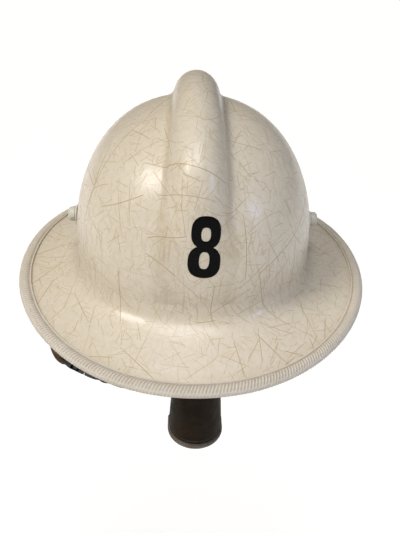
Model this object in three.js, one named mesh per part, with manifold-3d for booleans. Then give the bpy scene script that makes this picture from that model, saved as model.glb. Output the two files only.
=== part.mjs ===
// Firefighter helmet with a central comb, a full brim, an inner suspension and a chin strap.
// Millimetres, +Z up, the front of the helmet faces -Y.
// The origin is the centre of the head opening, level with the brim edge at the two sides.
import * as THREE from "three";
import { TessellateModifier } from "three/addons/modifiers/TessellateModifier.js";
import { mergeVertices } from "three/addons/utils/BufferGeometryUtils.js";
import Module from "manifold-3d";

const wasm = await Module();
wasm.setup();

// ---------------------------------------------------------------- driving dimensions
const touchGap = 0.3;

// Crown: an oval dome that stands on the base line.
const crownHalfWidth = 101;
const crownFront = 107;
const crownRear = 125;
const crownBase = 24;
const crownTop = 143;
const ovalPower = 2.16;
const domePower = 2.3;
const shellThickness = 3;

// Comb: a rounded ridge over the crown. Angles run from the front (0) over the top (90) to the rear (180).
const combRise = 19;
const combHalfWidth = 19.5;
const combFootHalfWidth = 23.5;
const combFillet = 5;
const combFrontStart = 13;
const combFrontFull = 52;
const combNarrowStart = 24;
const combNarrowEnd = 90;
const combRearFull = 108;
const combRearEnd = 174;

// Brim: a flared sheet that drops towards the front and the rear.
const brimHalfWidth = 149.3;
const brimFront = 159.3;
const brimRear = 185.3;
const brimPower = 2.07;
const brimFrontDrop = 14;
const brimRearDrop = 20;
const brimRootRise = 0.36;

// Side buttons, their studs and the strap brackets behind them.
const studHeight = 42;
const studRadius = 2.5;
const pivotHeight = -2;
const pivotRadius = 2;

// Suspension ring and cradle straps.
const ringHalfWidth = 93.5;
const ringFront = 99.5;
const ringRear = 117.5;
const ringBottom = 16;
const ringTop = 32;
const ringThickness = 2;
const cradleTop = 112;
const cradleStep = 2.9;
const cradleThickness = 1.4;
const cradleWidth = 20;

// Headband, brow pad and the sliding nape band.
const bandHalfWidth = 80;
const bandFront = 90;
const bandTail = 36;
const bandBottom = -6;
const bandTop = 24;
const bandThickness = 1.8;
const browPadThickness = 5;
const napeHalfWidth = 84.4;
const napeStart = 20;
const napeBend = 50;
const napeRear = 104;
const napeThickness = 2;
const napeSlope = 0.4;
const knobRadius = 14;

// Chin strap, buckle and chin cup.
const strapWidth = 20;
const strapThickness = 2;
const cupCentre = new THREE.Vector3(6.5, -66, -148);
const cupHeight = 64;
const cupFootRadius = 25;
const cupMouthRadius = 20.6;
const cupLegs = 12;
const cupWall = 3;
const cupRivet = new THREE.Vector3(6.5, -66, -92);
const loopReach = 36.5;

// ---------------------------------------------------------------- materials
function finish(color, roughness, metalness) {
  return new THREE.MeshStandardMaterial({ color, roughness, metalness });
}
const cream = finish(0xdccfb6, 0.42, 0);
const binding = finish(0xd6cab8, 0.6, 0);
const black = finish(0x121214, 0.25, 0);
const offWhite = finish(0xc9cabf, 0.45, 0);
const steel = finish(0xa9acae, 0.35, 1);
const foam = finish(0xd8d2c2, 0.9, 0);
const nylon = finish(0x2b2c30, 0.5, 0);
const webbing = finish(0x8a8272, 0.9, 0);
const tanLeather = finish(0x9a7650, 0.6, 0);
const darkLeather = finish(0x2c1e14, 0.5, 0);
const paleLeather = finish(0x6a5b4c, 0.7, 0);
const blackPlastic = finish(0x1c1c1f, 0.4, 0);

const helmet = new THREE.Group();

function addPart(name, geometry, material, parent = helmet) {
  const mesh = new THREE.Mesh(geometry, material);
  mesh.name = name;
  parent.add(mesh);
  return mesh;
}

// ---------------------------------------------------------------- solids and cuts
function solidOf(geometry) {
  const bare = geometry.clone();
  bare.deleteAttribute("normal");
  bare.deleteAttribute("uv");
  const merged = mergeVertices(bare, 1e-3);
  return new wasm.Manifold(
    new wasm.Mesh({
      numProp: 3,
      vertProperties: new Float32Array(merged.getAttribute("position").array),
      triVerts: new Uint32Array(merged.index.array),
    }),
  );
}

function geometryOf(solid) {
  const mesh = solid.getMesh();
  const geometry = new THREE.BufferGeometry();
  geometry.setAttribute("position", new THREE.BufferAttribute(mesh.vertProperties, 3));
  geometry.setIndex(new THREE.BufferAttribute(mesh.triVerts, 1));
  geometry.computeVertexNormals();
  return geometry;
}

function cut(geometry, ...tools) {
  const solid = tools.reduce((rest, tool) => rest.subtract(solidOf(tool)), solidOf(geometry));
  return geometryOf(solid);
}

function join(...geometries) {
  return geometryOf(geometries.map(solidOf).reduce((sum, next) => sum.add(next)));
}

// A block from its lowest corner to its highest corner.
function block(low, high) {
  const geometry = new THREE.BoxGeometry(high[0] - low[0], high[1] - low[1], high[2] - low[2]);
  return geometry.translate((low[0] + high[0]) / 2, (low[1] + high[1]) / 2, (low[2] + high[2]) / 2);
}

// A body turned about the X axis: each profile point is [distance from the axis, place along X].
function turnedAboutX(profile, segments) {
  const points = profile.map(([radius, along]) => new THREE.Vector2(radius, along));
  return new THREE.LatheGeometry(points, segments).rotateZ(-Math.PI / 2);
}

// A body mirrored to the other side of the helmet, with each triangle turned back to face outwards.
function mirrored(geometry) {
  const flipped = geometry.index ? geometry.toNonIndexed() : geometry.clone();
  flipped.scale(-1, 1, 1);
  const position = flipped.getAttribute("position");
  const first = new THREE.Vector3();
  const second = new THREE.Vector3();
  for (let corner = 0; corner < position.count; corner += 3) {
    first.fromBufferAttribute(position, corner);
    second.fromBufferAttribute(position, corner + 1);
    position.setXYZ(corner, second.x, second.y, second.z);
    position.setXYZ(corner + 1, first.x, first.y, first.z);
  }
  flipped.computeVertexNormals();
  return flipped;
}

// A body with a free surface: rows of points from pointAt(azimuth, row), swept once round +Z.
function sweptRound(rowCount, segments, pointAt) {
  const profile = Array.from({ length: rowCount }, (_, row) => new THREE.Vector2(row + 1, row));
  const geometry = new THREE.LatheGeometry(profile, segments);
  const position = geometry.getAttribute("position");
  for (let segment = 0; segment <= segments; segment += 1) {
    const azimuth = crowdedAzimuth((segment % segments) / segments);
    for (let row = 0; row < rowCount; row += 1) {
      const point = pointAt(azimuth, row);
      position.setXYZ(segment * rowCount + row, point.x, point.y, point.z);
    }
  }
  return geometry;
}

// Azimuths lie closer together at the front and the rear, where the comb crosses the crown.
function crowdedAzimuth(share) {
  const turn = share * 2 * Math.PI;
  const crowding = 0.18;
  return turn + crowding * Math.sin(2 * turn);
}

// ---------------------------------------------------------------- crown and brim surfaces
function ovalRadius(azimuth, halfWidth, front, rear, power) {
  const length = Math.sin(azimuth) < 0 ? front : rear;
  const across = Math.abs(Math.cos(azimuth) / halfWidth) ** power;
  const along = Math.abs(Math.sin(azimuth) / length) ** power;
  return (across + along) ** (-1 / power);
}

function domeRadius(direction) {
  const length = direction.y < 0 ? crownFront : crownRear;
  const across = Math.abs(direction.x / crownHalfWidth) ** ovalPower;
  const along = Math.abs(direction.y / length) ** ovalPower;
  const upward = Math.abs(direction.z / (crownTop - crownBase)) ** domePower;
  return ((across + along) ** (domePower / ovalPower) + upward) ** (-1 / domePower);
}

// The comb's section is an arc of a circle whose centre lies below the dome surface.
function combArc(direction) {
  const angle = THREE.MathUtils.radToDeg(Math.atan2(direction.z, -direction.y));
  const front = THREE.MathUtils.smoothstep(angle, combFrontStart, combFrontFull);
  const rear = 1 - THREE.MathUtils.smoothstep(angle, combRearFull, combRearEnd);
  const rise = Math.max(combRise * front * rear, 0.05);
  const narrow = THREE.MathUtils.smoothstep(angle, combNarrowStart, combNarrowEnd);
  const halfWidth = THREE.MathUtils.lerp(combFootHalfWidth, combHalfWidth, narrow * rear);
  const radius = (halfWidth ** 2 + rise ** 2) / (2 * rise);
  return { radius, sink: radius - rise, fillet: Math.min(combFillet, rise) };
}

// Distance from the outer surface at a height above the dome, with a fillet where comb and dome meet.
function heightOverSurface(direction, height, arc) {
  const sideways = (domeRadius(direction) + height) * direction.x;
  const overComb = Math.hypot(sideways, height + arc.sink) - arc.radius;
  const share = THREE.MathUtils.clamp(0.5 + (height - overComb) / (2 * arc.fillet), 0, 1);
  return THREE.MathUtils.lerp(height, overComb, share) - arc.fillet * share * (1 - share);
}

// The point of the crown in a direction from the base centre, at an inset below the outer surface.
function crownPoint(direction, inset) {
  const arc = combArc(direction);
  let low = -inset - combFillet;
  let high = combRise + combFillet;
  for (let halving = 0; halving < 30; halving += 1) {
    const middle = (low + high) / 2;
    if (heightOverSurface(direction, middle, arc) < -inset) low = middle;
    else high = middle;
  }
  const point = direction.clone().multiplyScalar(domeRadius(direction) + low);
  return point.setZ(point.z + crownBase);
}

// The same crown without its comb.
function domePoint(direction, inset) {
  const point = direction.clone().multiplyScalar(domeRadius(direction) - inset);
  return point.setZ(point.z + crownBase);
}

function directionAt(azimuth, polar) {
  const flat = Math.sin(polar);
  return new THREE.Vector3(Math.cos(azimuth) * flat, Math.sin(azimuth) * flat, Math.cos(polar));
}

// The brim's section at an azimuth, as [distance from +Z, height] corners of a cubic curve.
function brimCurve(azimuth, inset) {
  const root = ovalRadius(azimuth, crownHalfWidth, crownFront, crownRear, ovalPower);
  const rim = ovalRadius(azimuth, brimHalfWidth, brimFront, brimRear, brimPower);
  const drop = Math.sin(azimuth) < 0 ? brimFrontDrop : brimRearDrop;
  const edge = -drop * Math.sin(azimuth) ** 2;
  return new THREE.CubicBezierCurve(
    new THREE.Vector2(root - inset, crownBase),
    new THREE.Vector2(root + 0.5 - inset, 1 - edge * brimRootRise - inset * 0.5),
    new THREE.Vector2(root * 0.74 + rim * 0.26, 1 - edge * brimRootRise * 0.7 - inset),
    new THREE.Vector2(rim, edge - inset),
  );
}

function pointOnAzimuth(azimuth, radius, height) {
  return new THREE.Vector3(radius * Math.cos(azimuth), radius * Math.sin(azimuth), height);
}

// ---------------------------------------------------------------- outer shell
const shellSegments = 56;
const crownRows = 13;
const brimRows = 6;

function shellSurfacePoint(azimuth, row, inset) {
  if (row <= crownRows) {
    return crownPoint(directionAt(azimuth, ((row / crownRows) * Math.PI) / 2), inset);
  }
  const section = brimCurve(azimuth, inset).getPoint((row - crownRows) / brimRows);
  return pointOnAzimuth(azimuth, section.x, section.y);
}

function shellBody() {
  const lastRow = crownRows + brimRows;
  return sweptRound(2 * (lastRow + 1), shellSegments, (azimuth, row) =>
    row <= lastRow
      ? shellSurfacePoint(azimuth, row, shellThickness)
      : shellSurfacePoint(azimuth, 2 * lastRow + 1 - row, 0),
  );
}

function studHole() {
  const holeRadius = studRadius + touchGap;
  const near = crownHalfWidth - 12;
  const far = crownHalfWidth + 6;
  const profile = [[0, near], [holeRadius, near], [holeRadius, far], [0, far]];
  return turnedAboutX(profile, 16).translate(0, 0, studHeight);
}

addPart("outer_shell", cut(shellBody(), studHole(), mirrored(studHole())), cream);

// ---------------------------------------------------------------- edge binding
// A C section in the plane of the brim's section: [outwards past the edge, above the sheet's middle].
function trimBody() {
  const lip = 6;
  const half = shellThickness / 2;
  const slot = half + touchGap;
  const slotEnd = 1;
  const section = [
    [-lip, slot],
    [slotEnd, slot],
    [slotEnd, -slot],
    [-lip, -slot],
    [-lip, -half - 1.4],
    [-lip / 2, -half - 2.2],
    [1.2, -half - 1.5],
    [3, 0],
    [1.2, half + 1.8],
    [-lip / 2, half + 2.6],
    [-lip, half + 1.6],
    [-lip, slot],
  ];
  return sweptRound(section.length, shellSegments, (azimuth, row) => {
    const curve = brimCurve(azimuth, half);
    const edge = curve.getPoint(1);
    const outwards = edge.clone().sub(curve.getPoint(1 - 1 / brimRows)).normalize();
    const [past, above] = section[row];
    const radius = edge.x + past * outwards.x - above * outwards.y;
    return pointOnAzimuth(azimuth, radius, edge.y + past * outwards.y + above * outwards.x);
  });
}

addPart("brim_edge_trim", trimBody(), binding);

// ---------------------------------------------------------------- numeral on the crown's front
// An eight made of two ovals, each [centre height, half width, half height], with two counters.
const eightOvals = [[10.9, 10.6, 11.6], [-10.6, 11.9, 11.9]];
const eightCounters = [[9.6, 3.4, 4.9], [-9.4, 3.7, 6.3]];
const eightPlace = new THREE.Vector3(6.3, -114.5, 78);
const eightLean = -0.035;
const eightGap = 0.5;
const eightThickness = 0.4;

function ovalHalfWidth([centre, halfWidth, halfHeight], height) {
  const off = Math.abs((height - centre) / halfHeight);
  return off < 1 ? halfWidth * (1 - off ** 2.5) ** (1 / 2.5) : 0;
}

function eightShape() {
  const steps = 30;
  const top = eightOvals[0][0] + eightOvals[0][2];
  const foot = eightOvals[1][0] - eightOvals[1][2];
  const right = [];
  for (let step = 0; step <= steps; step += 1) {
    const height = (top + foot) / 2 - ((top - foot) / 2) * Math.cos((step / steps) * Math.PI);
    const halfWidth = Math.max(...eightOvals.map((oval) => ovalHalfWidth(oval, height)), 0.5);
    right.push(new THREE.Vector2(halfWidth, height));
  }
  const left = right.map((point) => new THREE.Vector2(-point.x, point.y)).reverse();
  const shape = new THREE.Shape([...right, ...left]);
  for (const [centre, halfWidth, halfHeight] of eightCounters) {
    const counter = new THREE.Path();
    counter.absellipse(0, centre, halfWidth, halfHeight, 0, 2 * Math.PI, true);
    shape.holes.push(counter);
  }
  return shape;
}

// Moves a point along a ray until it lies at a clearance over the crown.
function seatedOnCrown(start, ray, clearance) {
  let low = -25;
  let high = 25;
  const centre = new THREE.Vector3(0, 0, crownBase);
  for (let halving = 0; halving < 30; halving += 1) {
    const middle = (low + high) / 2;
    const arm = start.clone().addScaledVector(ray, middle).sub(centre);
    const direction = arm.clone().normalize();
    const height = arm.length() - domeRadius(direction);
    if (heightOverSurface(direction, height, combArc(direction)) < clearance) low = middle;
    else high = middle;
  }
  return start.clone().addScaledVector(ray, low);
}

function eightBody() {
  const options = { depth: 1, bevelEnabled: false, curveSegments: 10 };
  const sheet = new THREE.ExtrudeGeometry(eightShape(), options);
  const longestEdge = 12;
  const flat = new TessellateModifier(longestEdge, 4).modify(sheet);
  const outward = new THREE.Vector3(0, -0.88, 0.47).normalize();
  const upward = new THREE.Vector3(1, 0, 0).applyAxisAngle(outward, Math.PI / 2 + eightLean);
  const rightward = upward.clone().cross(outward);
  const position = flat.getAttribute("position");
  for (let index = 0; index < position.count; index += 1) {
    const start = eightPlace
      .clone()
      .addScaledVector(rightward, position.getX(index))
      .addScaledVector(upward, position.getY(index));
    const point = seatedOnCrown(start, outward, eightGap + position.getZ(index) * eightThickness);
    position.setXYZ(index, point.x, point.y, point.z);
  }
  return flat;
}

addPart("number_eight", eightBody(), black);

// ---------------------------------------------------------------- side fittings
// A flat plate in the YZ plane between two places along X, with round holes [y, z, radius].
function platedAtX(outline, near, far, holes) {
  const shape = new THREE.Shape(outline.map(([y, z]) => new THREE.Vector2(y, z)));
  for (const [y, z, radius] of holes) {
    const hole = new THREE.Path();
    hole.absarc(y, z, radius, 0, 2 * Math.PI, true);
    shape.holes.push(hole);
  }
  const options = { depth: far - near, bevelEnabled: false, curveSegments: 8 };
  const turn = new THREE.Matrix4().makeBasis(
    new THREE.Vector3(0, 1, 0),
    new THREE.Vector3(0, 0, 1),
    new THREE.Vector3(1, 0, 0),
  );
  return new THREE.ExtrudeGeometry(shape, options).applyMatrix4(turn).translate(near, 0, 0);
}

// A strip outline with cut corners, from a lower to an upper height.
function stripOutline(halfWidth, low, high, corner) {
  return [
    [-halfWidth, low + corner],
    [-halfWidth + corner, low],
    [halfWidth - corner, low],
    [halfWidth, low + corner],
    [halfWidth, high - corner],
    [halfWidth - corner, high],
    [-halfWidth + corner, high],
    [-halfWidth, high - corner],
  ];
}

const flangeStart = crownHalfWidth + touchGap;
const capStart = flangeStart + 1.6 + touchGap;
const capEnd = capStart + 5.6;
const bracketStart = 94.6;
const bracketEnd = 96.1;
const hangerStart = 92.9;
const hangerEnd = 94.3;
const nutStart = 90.3;
const strapAnchor = hangerStart - touchGap - strapThickness / 2;

function sideFittings() {
  const boreRadius = studRadius + touchGap;
  const pivotBore = pivotRadius + touchGap;
  return {
    button_flange: {
      geometry: turnedAboutX(
        [
          [boreRadius, flangeStart],
          [7.6, flangeStart],
          [7.6, flangeStart + 1],
          [7, flangeStart + 1.6],
          [boreRadius, flangeStart + 1.6],
          [boreRadius, flangeStart],
        ],
        20,
      ).translate(0, 0, studHeight),
      material: offWhite,
    },
    side_button: {
      geometry: turnedAboutX(
        [
          [0, capStart + 3],
          [boreRadius, capStart + 3],
          [boreRadius, capStart],
          [6.3, capStart],
          [6.3, capEnd - 1.4],
          [4.9, capEnd],
          [0, capEnd],
        ],
        20,
      ).translate(0, 0, studHeight),
      material: offWhite,
    },
    button_stud: {
      geometry: turnedAboutX(
        [
          [0, nutStart - 0.6],
          [studRadius, nutStart - 0.6],
          [studRadius, capStart + 2.7],
          [0, capStart + 2.7],
        ],
        12,
      ).translate(0, 0, studHeight),
      material: steel,
    },
    stud_nut: {
      geometry: turnedAboutX(
        [
          [3.2, nutStart],
          [5.2, nutStart],
          [5.2, nutStart + 4],
          [3.2, nutStart + 4],
          [3.2, nutStart],
        ],
        6,
      ).translate(0, 0, studHeight),
      material: steel,
    },
    strap_bracket: {
      geometry: platedAtX(stripOutline(8, -9, 48, 3), bracketStart, bracketEnd, [
        [0, studHeight, boreRadius],
        [0, pivotHeight, pivotBore],
      ]),
      material: steel,
    },
    strap_pivot: {
      geometry: turnedAboutX(
        [
          [0, hangerStart - 1.5],
          [3.6, hangerStart - 1.5],
          [3.6, hangerStart - touchGap],
          [pivotRadius, hangerStart - touchGap],
          [pivotRadius, bracketEnd + touchGap],
          [3.6, bracketEnd + touchGap],
          [3.6, bracketEnd + 1.5],
          [0, bracketEnd + 1.5],
        ],
        14,
      ).translate(0, 0, pivotHeight),
      material: steel,
    },
    strap_hanger: {
      geometry: platedAtX(stripOutline(9, -22, 6, 3), hangerStart, hangerEnd, [
        [0, pivotHeight, pivotBore],
      ]),
      material: steel,
    },
  };
}

for (const [name, { geometry, material }] of Object.entries(sideFittings())) {
  addPart(`${name}_right`, geometry, material);
  addPart(`${name}_left`, mirrored(geometry), material);
}

// ---------------------------------------------------------------- liner and suspension
const padInset = shellThickness + 0.4;
const padThickness = 10;

function impactPad() {
  const rows = 6;
  const rimPolar = THREE.MathUtils.degToRad(68);
  return sweptRound(2 * (rows + 1), 28, (azimuth, row) =>
    row <= rows
      ? domePoint(directionAt(azimuth, (row / rows) * rimPolar), padInset + padThickness)
      : domePoint(directionAt(azimuth, ((2 * rows + 1 - row) / rows) * rimPolar), padInset),
  );
}

addPart("impact_pad", impactPad(), foam);

// Points of an oval between two azimuths, seen from above.
function ovalPoints(halfWidth, front, rear, power, steps, from = 0, to = 2 * Math.PI) {
  return Array.from({ length: steps + 1 }, (_, step) => {
    const azimuth = from + ((to - from) * step) / steps;
    const radius = ovalRadius(azimuth, halfWidth, front, rear, power);
    return new THREE.Vector2(radius * Math.cos(azimuth), radius * Math.sin(azimuth));
  });
}

function raised(outline, holes, low, high) {
  const shape = new THREE.Shape(outline);
  shape.holes = holes.map((points) => new THREE.Path(points));
  const options = { depth: high - low, bevelEnabled: false };
  return new THREE.ExtrudeGeometry(shape, options).translate(0, 0, low);
}

function suspensionRing() {
  const inside = [ringHalfWidth, ringFront, ringRear].map((reach) => reach - ringThickness);
  const outer = ovalPoints(ringHalfWidth, ringFront, ringRear, ovalPower, 44).slice(0, -1);
  const inner = ovalPoints(...inside, ovalPower, 44).slice(0, -1);
  return raised(outer, [inner.reverse()], ringBottom, ringTop);
}

addPart("suspension_ring", suspensionRing(), nylon);

// Clips hold the ring inside the crown. Each block stands square to the ring's outer face.
const clipAngles = {
  clip_front_left: 228,
  clip_front_right: 312,
  clip_rear_left: 132,
  clip_rear_right: 48,
};
const clipHeight = 25;

// One component of the oval's outward direction at a place along an axis with that reach.
function ovalSlope(place, reach) {
  return (Math.sign(place) * Math.abs(place / reach) ** (ovalPower - 1)) / reach;
}

for (const [name, angle] of Object.entries(clipAngles)) {
  const azimuth = THREE.MathUtils.degToRad(angle);
  const radius = ovalRadius(azimuth, ringHalfWidth, ringFront, ringRear, ovalPower);
  const place = pointOnAzimuth(azimuth, radius, clipHeight);
  const slopeX = ovalSlope(place.x, ringHalfWidth);
  const slopeY = ovalSlope(place.y, place.y < 0 ? ringFront : ringRear);
  const clip = block([touchGap, -7, -5], [4, 7, 5]).rotateZ(Math.atan2(slopeY, slopeX));
  addPart(name, clip.translate(place.x, place.y, place.z), nylon);
}

// A cradle strap is an arch between two points of the ring, in an upright plane.
function cradleStrap(azimuth, top) {
  const gap = ringThickness + 0.8 + 2.6 * Math.abs(Math.sin(2 * azimuth));
  const reaches = [ringHalfWidth - gap, ringFront - gap, ringRear - gap, ovalPower];
  const ahead = ovalRadius(azimuth, ...reaches);
  const behind = ovalRadius(azimuth + Math.PI, ...reaches);
  const foot = ringBottom + 2;
  const arch = (inset) =>
    Array.from({ length: 21 }, (_, step) => {
      const angle = (step / 20) * Math.PI;
      const reach = (Math.cos(angle) > 0 ? ahead : behind) - inset;
      return new THREE.Vector2(reach * Math.cos(angle), foot + (top - inset - foot) * Math.sin(angle));
    });
  const shape = new THREE.Shape([...arch(0), ...arch(cradleThickness).reverse()]);
  const strap = new THREE.ExtrudeGeometry(shape, { depth: cradleWidth, bevelEnabled: false });
  return strap
    .translate(0, 0, -cradleWidth / 2)
    .rotateX(Math.PI / 2)
    .rotateZ(azimuth);
}

const cradleAngles = {
  cradle_strap_lengthwise: 90,
  cradle_strap_cross_a: 30,
  cradle_strap_cross_b: 150,
};
Object.entries(cradleAngles).forEach(([name, angle], layer) => {
  const azimuth = THREE.MathUtils.degToRad(angle);
  addPart(name, cradleStrap(azimuth, cradleTop + layer * cradleStep), webbing);
});

// A shallow dished disc under the crossing of the straps.
function crownPatch() {
  const top = cradleTop - cradleThickness - 0.5;
  const radius = 22;
  const sag = (distance) => distance ** 2 / 150;
  const steps = [0, 8, 15, radius];
  const upper = steps.map((distance) => new THREE.Vector2(distance, top - sag(distance)));
  const lower = steps.map((distance) => new THREE.Vector2(distance, top - 1.6 - sag(distance)));
  return new THREE.LatheGeometry([...lower, ...upper.reverse()], 20).rotateX(Math.PI / 2);
}

addPart("crown_patch", crownPatch(), tanLeather);

// ---------------------------------------------------------------- headband
// Points of the headband's front arc at a depth inside its outer face.
function bandArc(depth, steps, from, to) {
  return ovalPoints(bandHalfWidth - depth, bandFront - depth, bandFront, 2, steps, from, to);
}

// The headband is open at the rear, where its two tails end.
function headband() {
  const wall = (depth) => [
    new THREE.Vector2(depth - bandHalfWidth, bandTail),
    ...bandArc(depth, 28, Math.PI, 2 * Math.PI),
    new THREE.Vector2(bandHalfWidth - depth, bandTail),
  ];
  return raised([...wall(0), ...wall(bandThickness).reverse()], [], bandBottom, bandTop);
}

addPart("headband", headband(), darkLeather);

function browPad() {
  const inset = bandThickness + touchGap;
  const from = THREE.MathUtils.degToRad(208);
  const to = THREE.MathUtils.degToRad(332);
  const outside = bandArc(inset, 20, from, to);
  const inside = bandArc(inset + browPadThickness, 20, from, to);
  const outline = [...outside, ...inside.reverse()];
  return raised(outline, [], bandBottom + 2, bandTop - 2);
}

addPart("brow_pad", browPad(), paleLeather);

// Tabs tie the headband to the suspension ring.
const tabAngles = {
  band_tab_left: 180,
  band_tab_right: 0,
  band_tab_front_left: 240,
  band_tab_front_right: 300,
};
for (const [name, angle] of Object.entries(tabAngles)) {
  const azimuth = THREE.MathUtils.degToRad(angle);
  const near = ovalRadius(azimuth, bandHalfWidth, bandFront, bandFront, 2);
  const far = ovalRadius(azimuth, ringHalfWidth, ringFront, ringRear, ovalPower) - ringThickness;
  const tab = block([near + 1, -6, 19], [far - 2.2, 6, 21]);
  addPart(name, tab.rotateZ(azimuth), nylon);
}

// The nape band closes the headband at the rear and slides on its two tails.
function napeBand() {
  const arc = (inset) =>
    Array.from({ length: 25 }, (_, step) => {
      const angle = (step / 24) * Math.PI;
      const across = (napeHalfWidth - inset) * Math.cos(angle);
      return new THREE.Vector2(across, napeBend + (napeRear - napeBend - inset) * Math.sin(angle));
    });
  const ends = (points, halfWidth) => [
    new THREE.Vector2(halfWidth, napeStart),
    ...points,
    new THREE.Vector2(-halfWidth, napeStart),
  ];
  const outer = ends(arc(0), napeHalfWidth);
  const inner = ends(arc(napeThickness), napeHalfWidth - napeThickness);
  const band = raised([...outer, ...inner.reverse()], [], 0, bandTop);
  const position = band.getAttribute("position");
  for (let index = 0; index < position.count; index += 1) {
    const past = Math.max(position.getY(index) - napeStart, 0);
    position.setZ(index, position.getZ(index) - past * napeSlope);
  }
  return band;
}

addPart("nape_band", napeBand(), darkLeather);

const housingHeight = bandTop / 2 - (napeRear - napeStart) * napeSlope;
const housingStart = napeRear + 0.4;
const housingEnd = housingStart + 8.6;
const knobDepth = 10;
const knobEnd = housingEnd + touchGap + knobDepth;

// A cylinder along Y at the height of the size adjuster.
function adjusterBar(radius, from, to, segments) {
  const bar = new THREE.CylinderGeometry(radius, radius, to - from, segments);
  return bar.translate(0, (from + to) / 2, housingHeight);
}

function adjusterHousing() {
  const low = [-23, housingStart, housingHeight - 11];
  const high = [23, housingEnd, housingHeight + 11];
  return cut(block(low, high), adjusterBar(3.4, housingStart + 2, housingEnd + 4, 16));
}

addPart("adjuster_housing", adjusterHousing(), nylon);

function adjusterKnob() {
  const flutes = 12;
  const rim = Array.from({ length: flutes * 4 }, (_, step) => {
    const angle = (step / (flutes * 4)) * 2 * Math.PI;
    const radius = knobRadius - 0.7 + 0.7 * Math.cos(flutes * angle);
    return new THREE.Vector2(radius * Math.cos(angle), radius * Math.sin(angle));
  });
  const options = { depth: knobDepth, bevelEnabled: false };
  const grip = new THREE.ExtrudeGeometry(new THREE.Shape(rim), options)
    .rotateX(Math.PI / 2)
    .translate(0, knobEnd, housingHeight);
  return join(grip, adjusterBar(3, housingStart + 2.4, housingEnd + 4, 16));
}

addPart("adjuster_knob", adjusterKnob(), nylon);

// ---------------------------------------------------------------- chin strap
// A strap follows a route. Its flat face turns from one facing to another along the way.
function strapFrame(route, share, facing) {
  const along = route.getTangentAt(share);
  const turned = THREE.MathUtils.smoothstep(share, facing.from, facing.to);
  const outward = facing.start.clone().lerp(facing.end, turned);
  outward.addScaledVector(along, -outward.dot(along)).normalize();
  return { place: route.getPointAt(share), along, outward, across: outward.clone().cross(along) };
}

function strapAlong(route, facing, steps) {
  const strap = new THREE.BoxGeometry(strapWidth, strapThickness, 1, 1, 1, steps);
  const position = strap.getAttribute("position");
  for (let index = 0; index < position.count; index += 1) {
    const share = THREE.MathUtils.clamp(position.getZ(index) + 0.5, 0, 1);
    const frame = strapFrame(route, share, facing);
    const point = frame.place
      .addScaledVector(frame.across, position.getX(index))
      .addScaledVector(frame.outward, position.getY(index));
    position.setXYZ(index, point.x, point.y, point.z);
  }
  return strap;
}

// A cubic curve between two places that leaves and arrives in given directions.
function bend(start, leaving, end, arriving, reach) {
  const out = start.clone().addScaledVector(leaving, reach);
  const back = end.clone().addScaledVector(arriving, -reach);
  return new THREE.CubicBezierCurve3(start, out, back, end);
}

function routeOf(...pieces) {
  const route = new THREE.CurvePath();
  pieces.forEach((piece) => route.add(piece));
  return route;
}

// Axes of a flat fitting: along the strap, across it, and out of its face.
function fittingAxes(along, facing) {
  const outward = facing.clone().addScaledVector(along, -facing.dot(along)).normalize();
  return { along, outward, across: outward.clone().cross(along) };
}

function fittingMatrix(axes, place) {
  return new THREE.Matrix4().makeBasis(axes.along, axes.across, axes.outward).setPosition(place);
}

const down = new THREE.Vector3(0, 0, -1);
const strapTop = pivotHeight - 5;
const hangerFoot = -24;
const anchorAt = (side, height) => new THREE.Vector3(side * strapAnchor, 0, height);

// The buckle hangs out to the left on the slack side of the strap.
const buckleAxes = fittingAxes(
  new THREE.Vector3(0.91, -0.2, -0.36).normalize(),
  new THREE.Vector3(-0.464, 0, -0.885),
);
const buckleCentre = new THREE.Vector3(-96, -46, -91);
const buckleHalf = 20.5;
const buckleEnd = (sign, gap) =>
  buckleCentre.clone().addScaledVector(buckleAxes.along, sign * (buckleHalf + gap));

const upperRoute = routeOf(
  new THREE.LineCurve3(anchorAt(-1, strapTop), anchorAt(-1, hangerFoot)),
  bend(anchorAt(-1, hangerFoot), down, buckleEnd(-1, 0.4), buckleAxes.along, 22),
);
const upperFacing = {
  start: new THREE.Vector3(-1, 0, 0),
  end: buckleAxes.outward,
  from: 0.3,
  to: 1,
};
addPart("chin_strap_upper", strapAlong(upperRoute, upperFacing, 16), tanLeather);

// The two lower ends of the strap stop short of the wire loops of the chin cup.
const loopEnd = (side) => cupRivet.clone().add(new THREE.Vector3(side * (loopReach + 0.6), 0, 0));
const lowerRoute = routeOf(
  bend(buckleEnd(1, 0.4), buckleAxes.along, loopEnd(-1), new THREE.Vector3(0.97, 0, 0.25), 20),
);
const lowerFacing = { start: buckleAxes.outward, end: down, from: 0, to: 1 };
addPart("chin_strap_left", strapAlong(lowerRoute, lowerFacing, 12), tanLeather);

// The right strap has a straight run, where the length slider moves.
const runTop = new THREE.Vector3(90.4, -6, -34);
const runFoot = new THREE.Vector3(80, -24, -70);
const runAlong = runFoot.clone().sub(runTop).normalize();
const rightFacing = { start: new THREE.Vector3(1, 0, 0), end: down, from: 0.52, to: 1 };
const rightRoute = routeOf(
  new THREE.LineCurve3(anchorAt(1, strapTop), anchorAt(1, hangerFoot + 3)),
  bend(anchorAt(1, hangerFoot + 3), down, runTop, runAlong, 5),
  new THREE.LineCurve3(runTop, runFoot),
  bend(runFoot, runAlong, loopEnd(1), new THREE.Vector3(-1, 0, 0), 18),
);
addPart("chin_strap_right", strapAlong(rightRoute, rightFacing, 26), tanLeather);

function strapSlider() {
  const frame = block([-6, -13, -2.7], [6, 13, 2.7]);
  const slot = block([-7, -10.6, -1.5], [7, 10.6, 1.5]);
  const place = runTop.clone().lerp(runFoot, 0.5);
  const axes = fittingAxes(runAlong, rightFacing.start);
  return cut(frame, slot).applyMatrix4(fittingMatrix(axes, place));
}

addPart("strap_slider", strapSlider(), blackPlastic);

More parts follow.
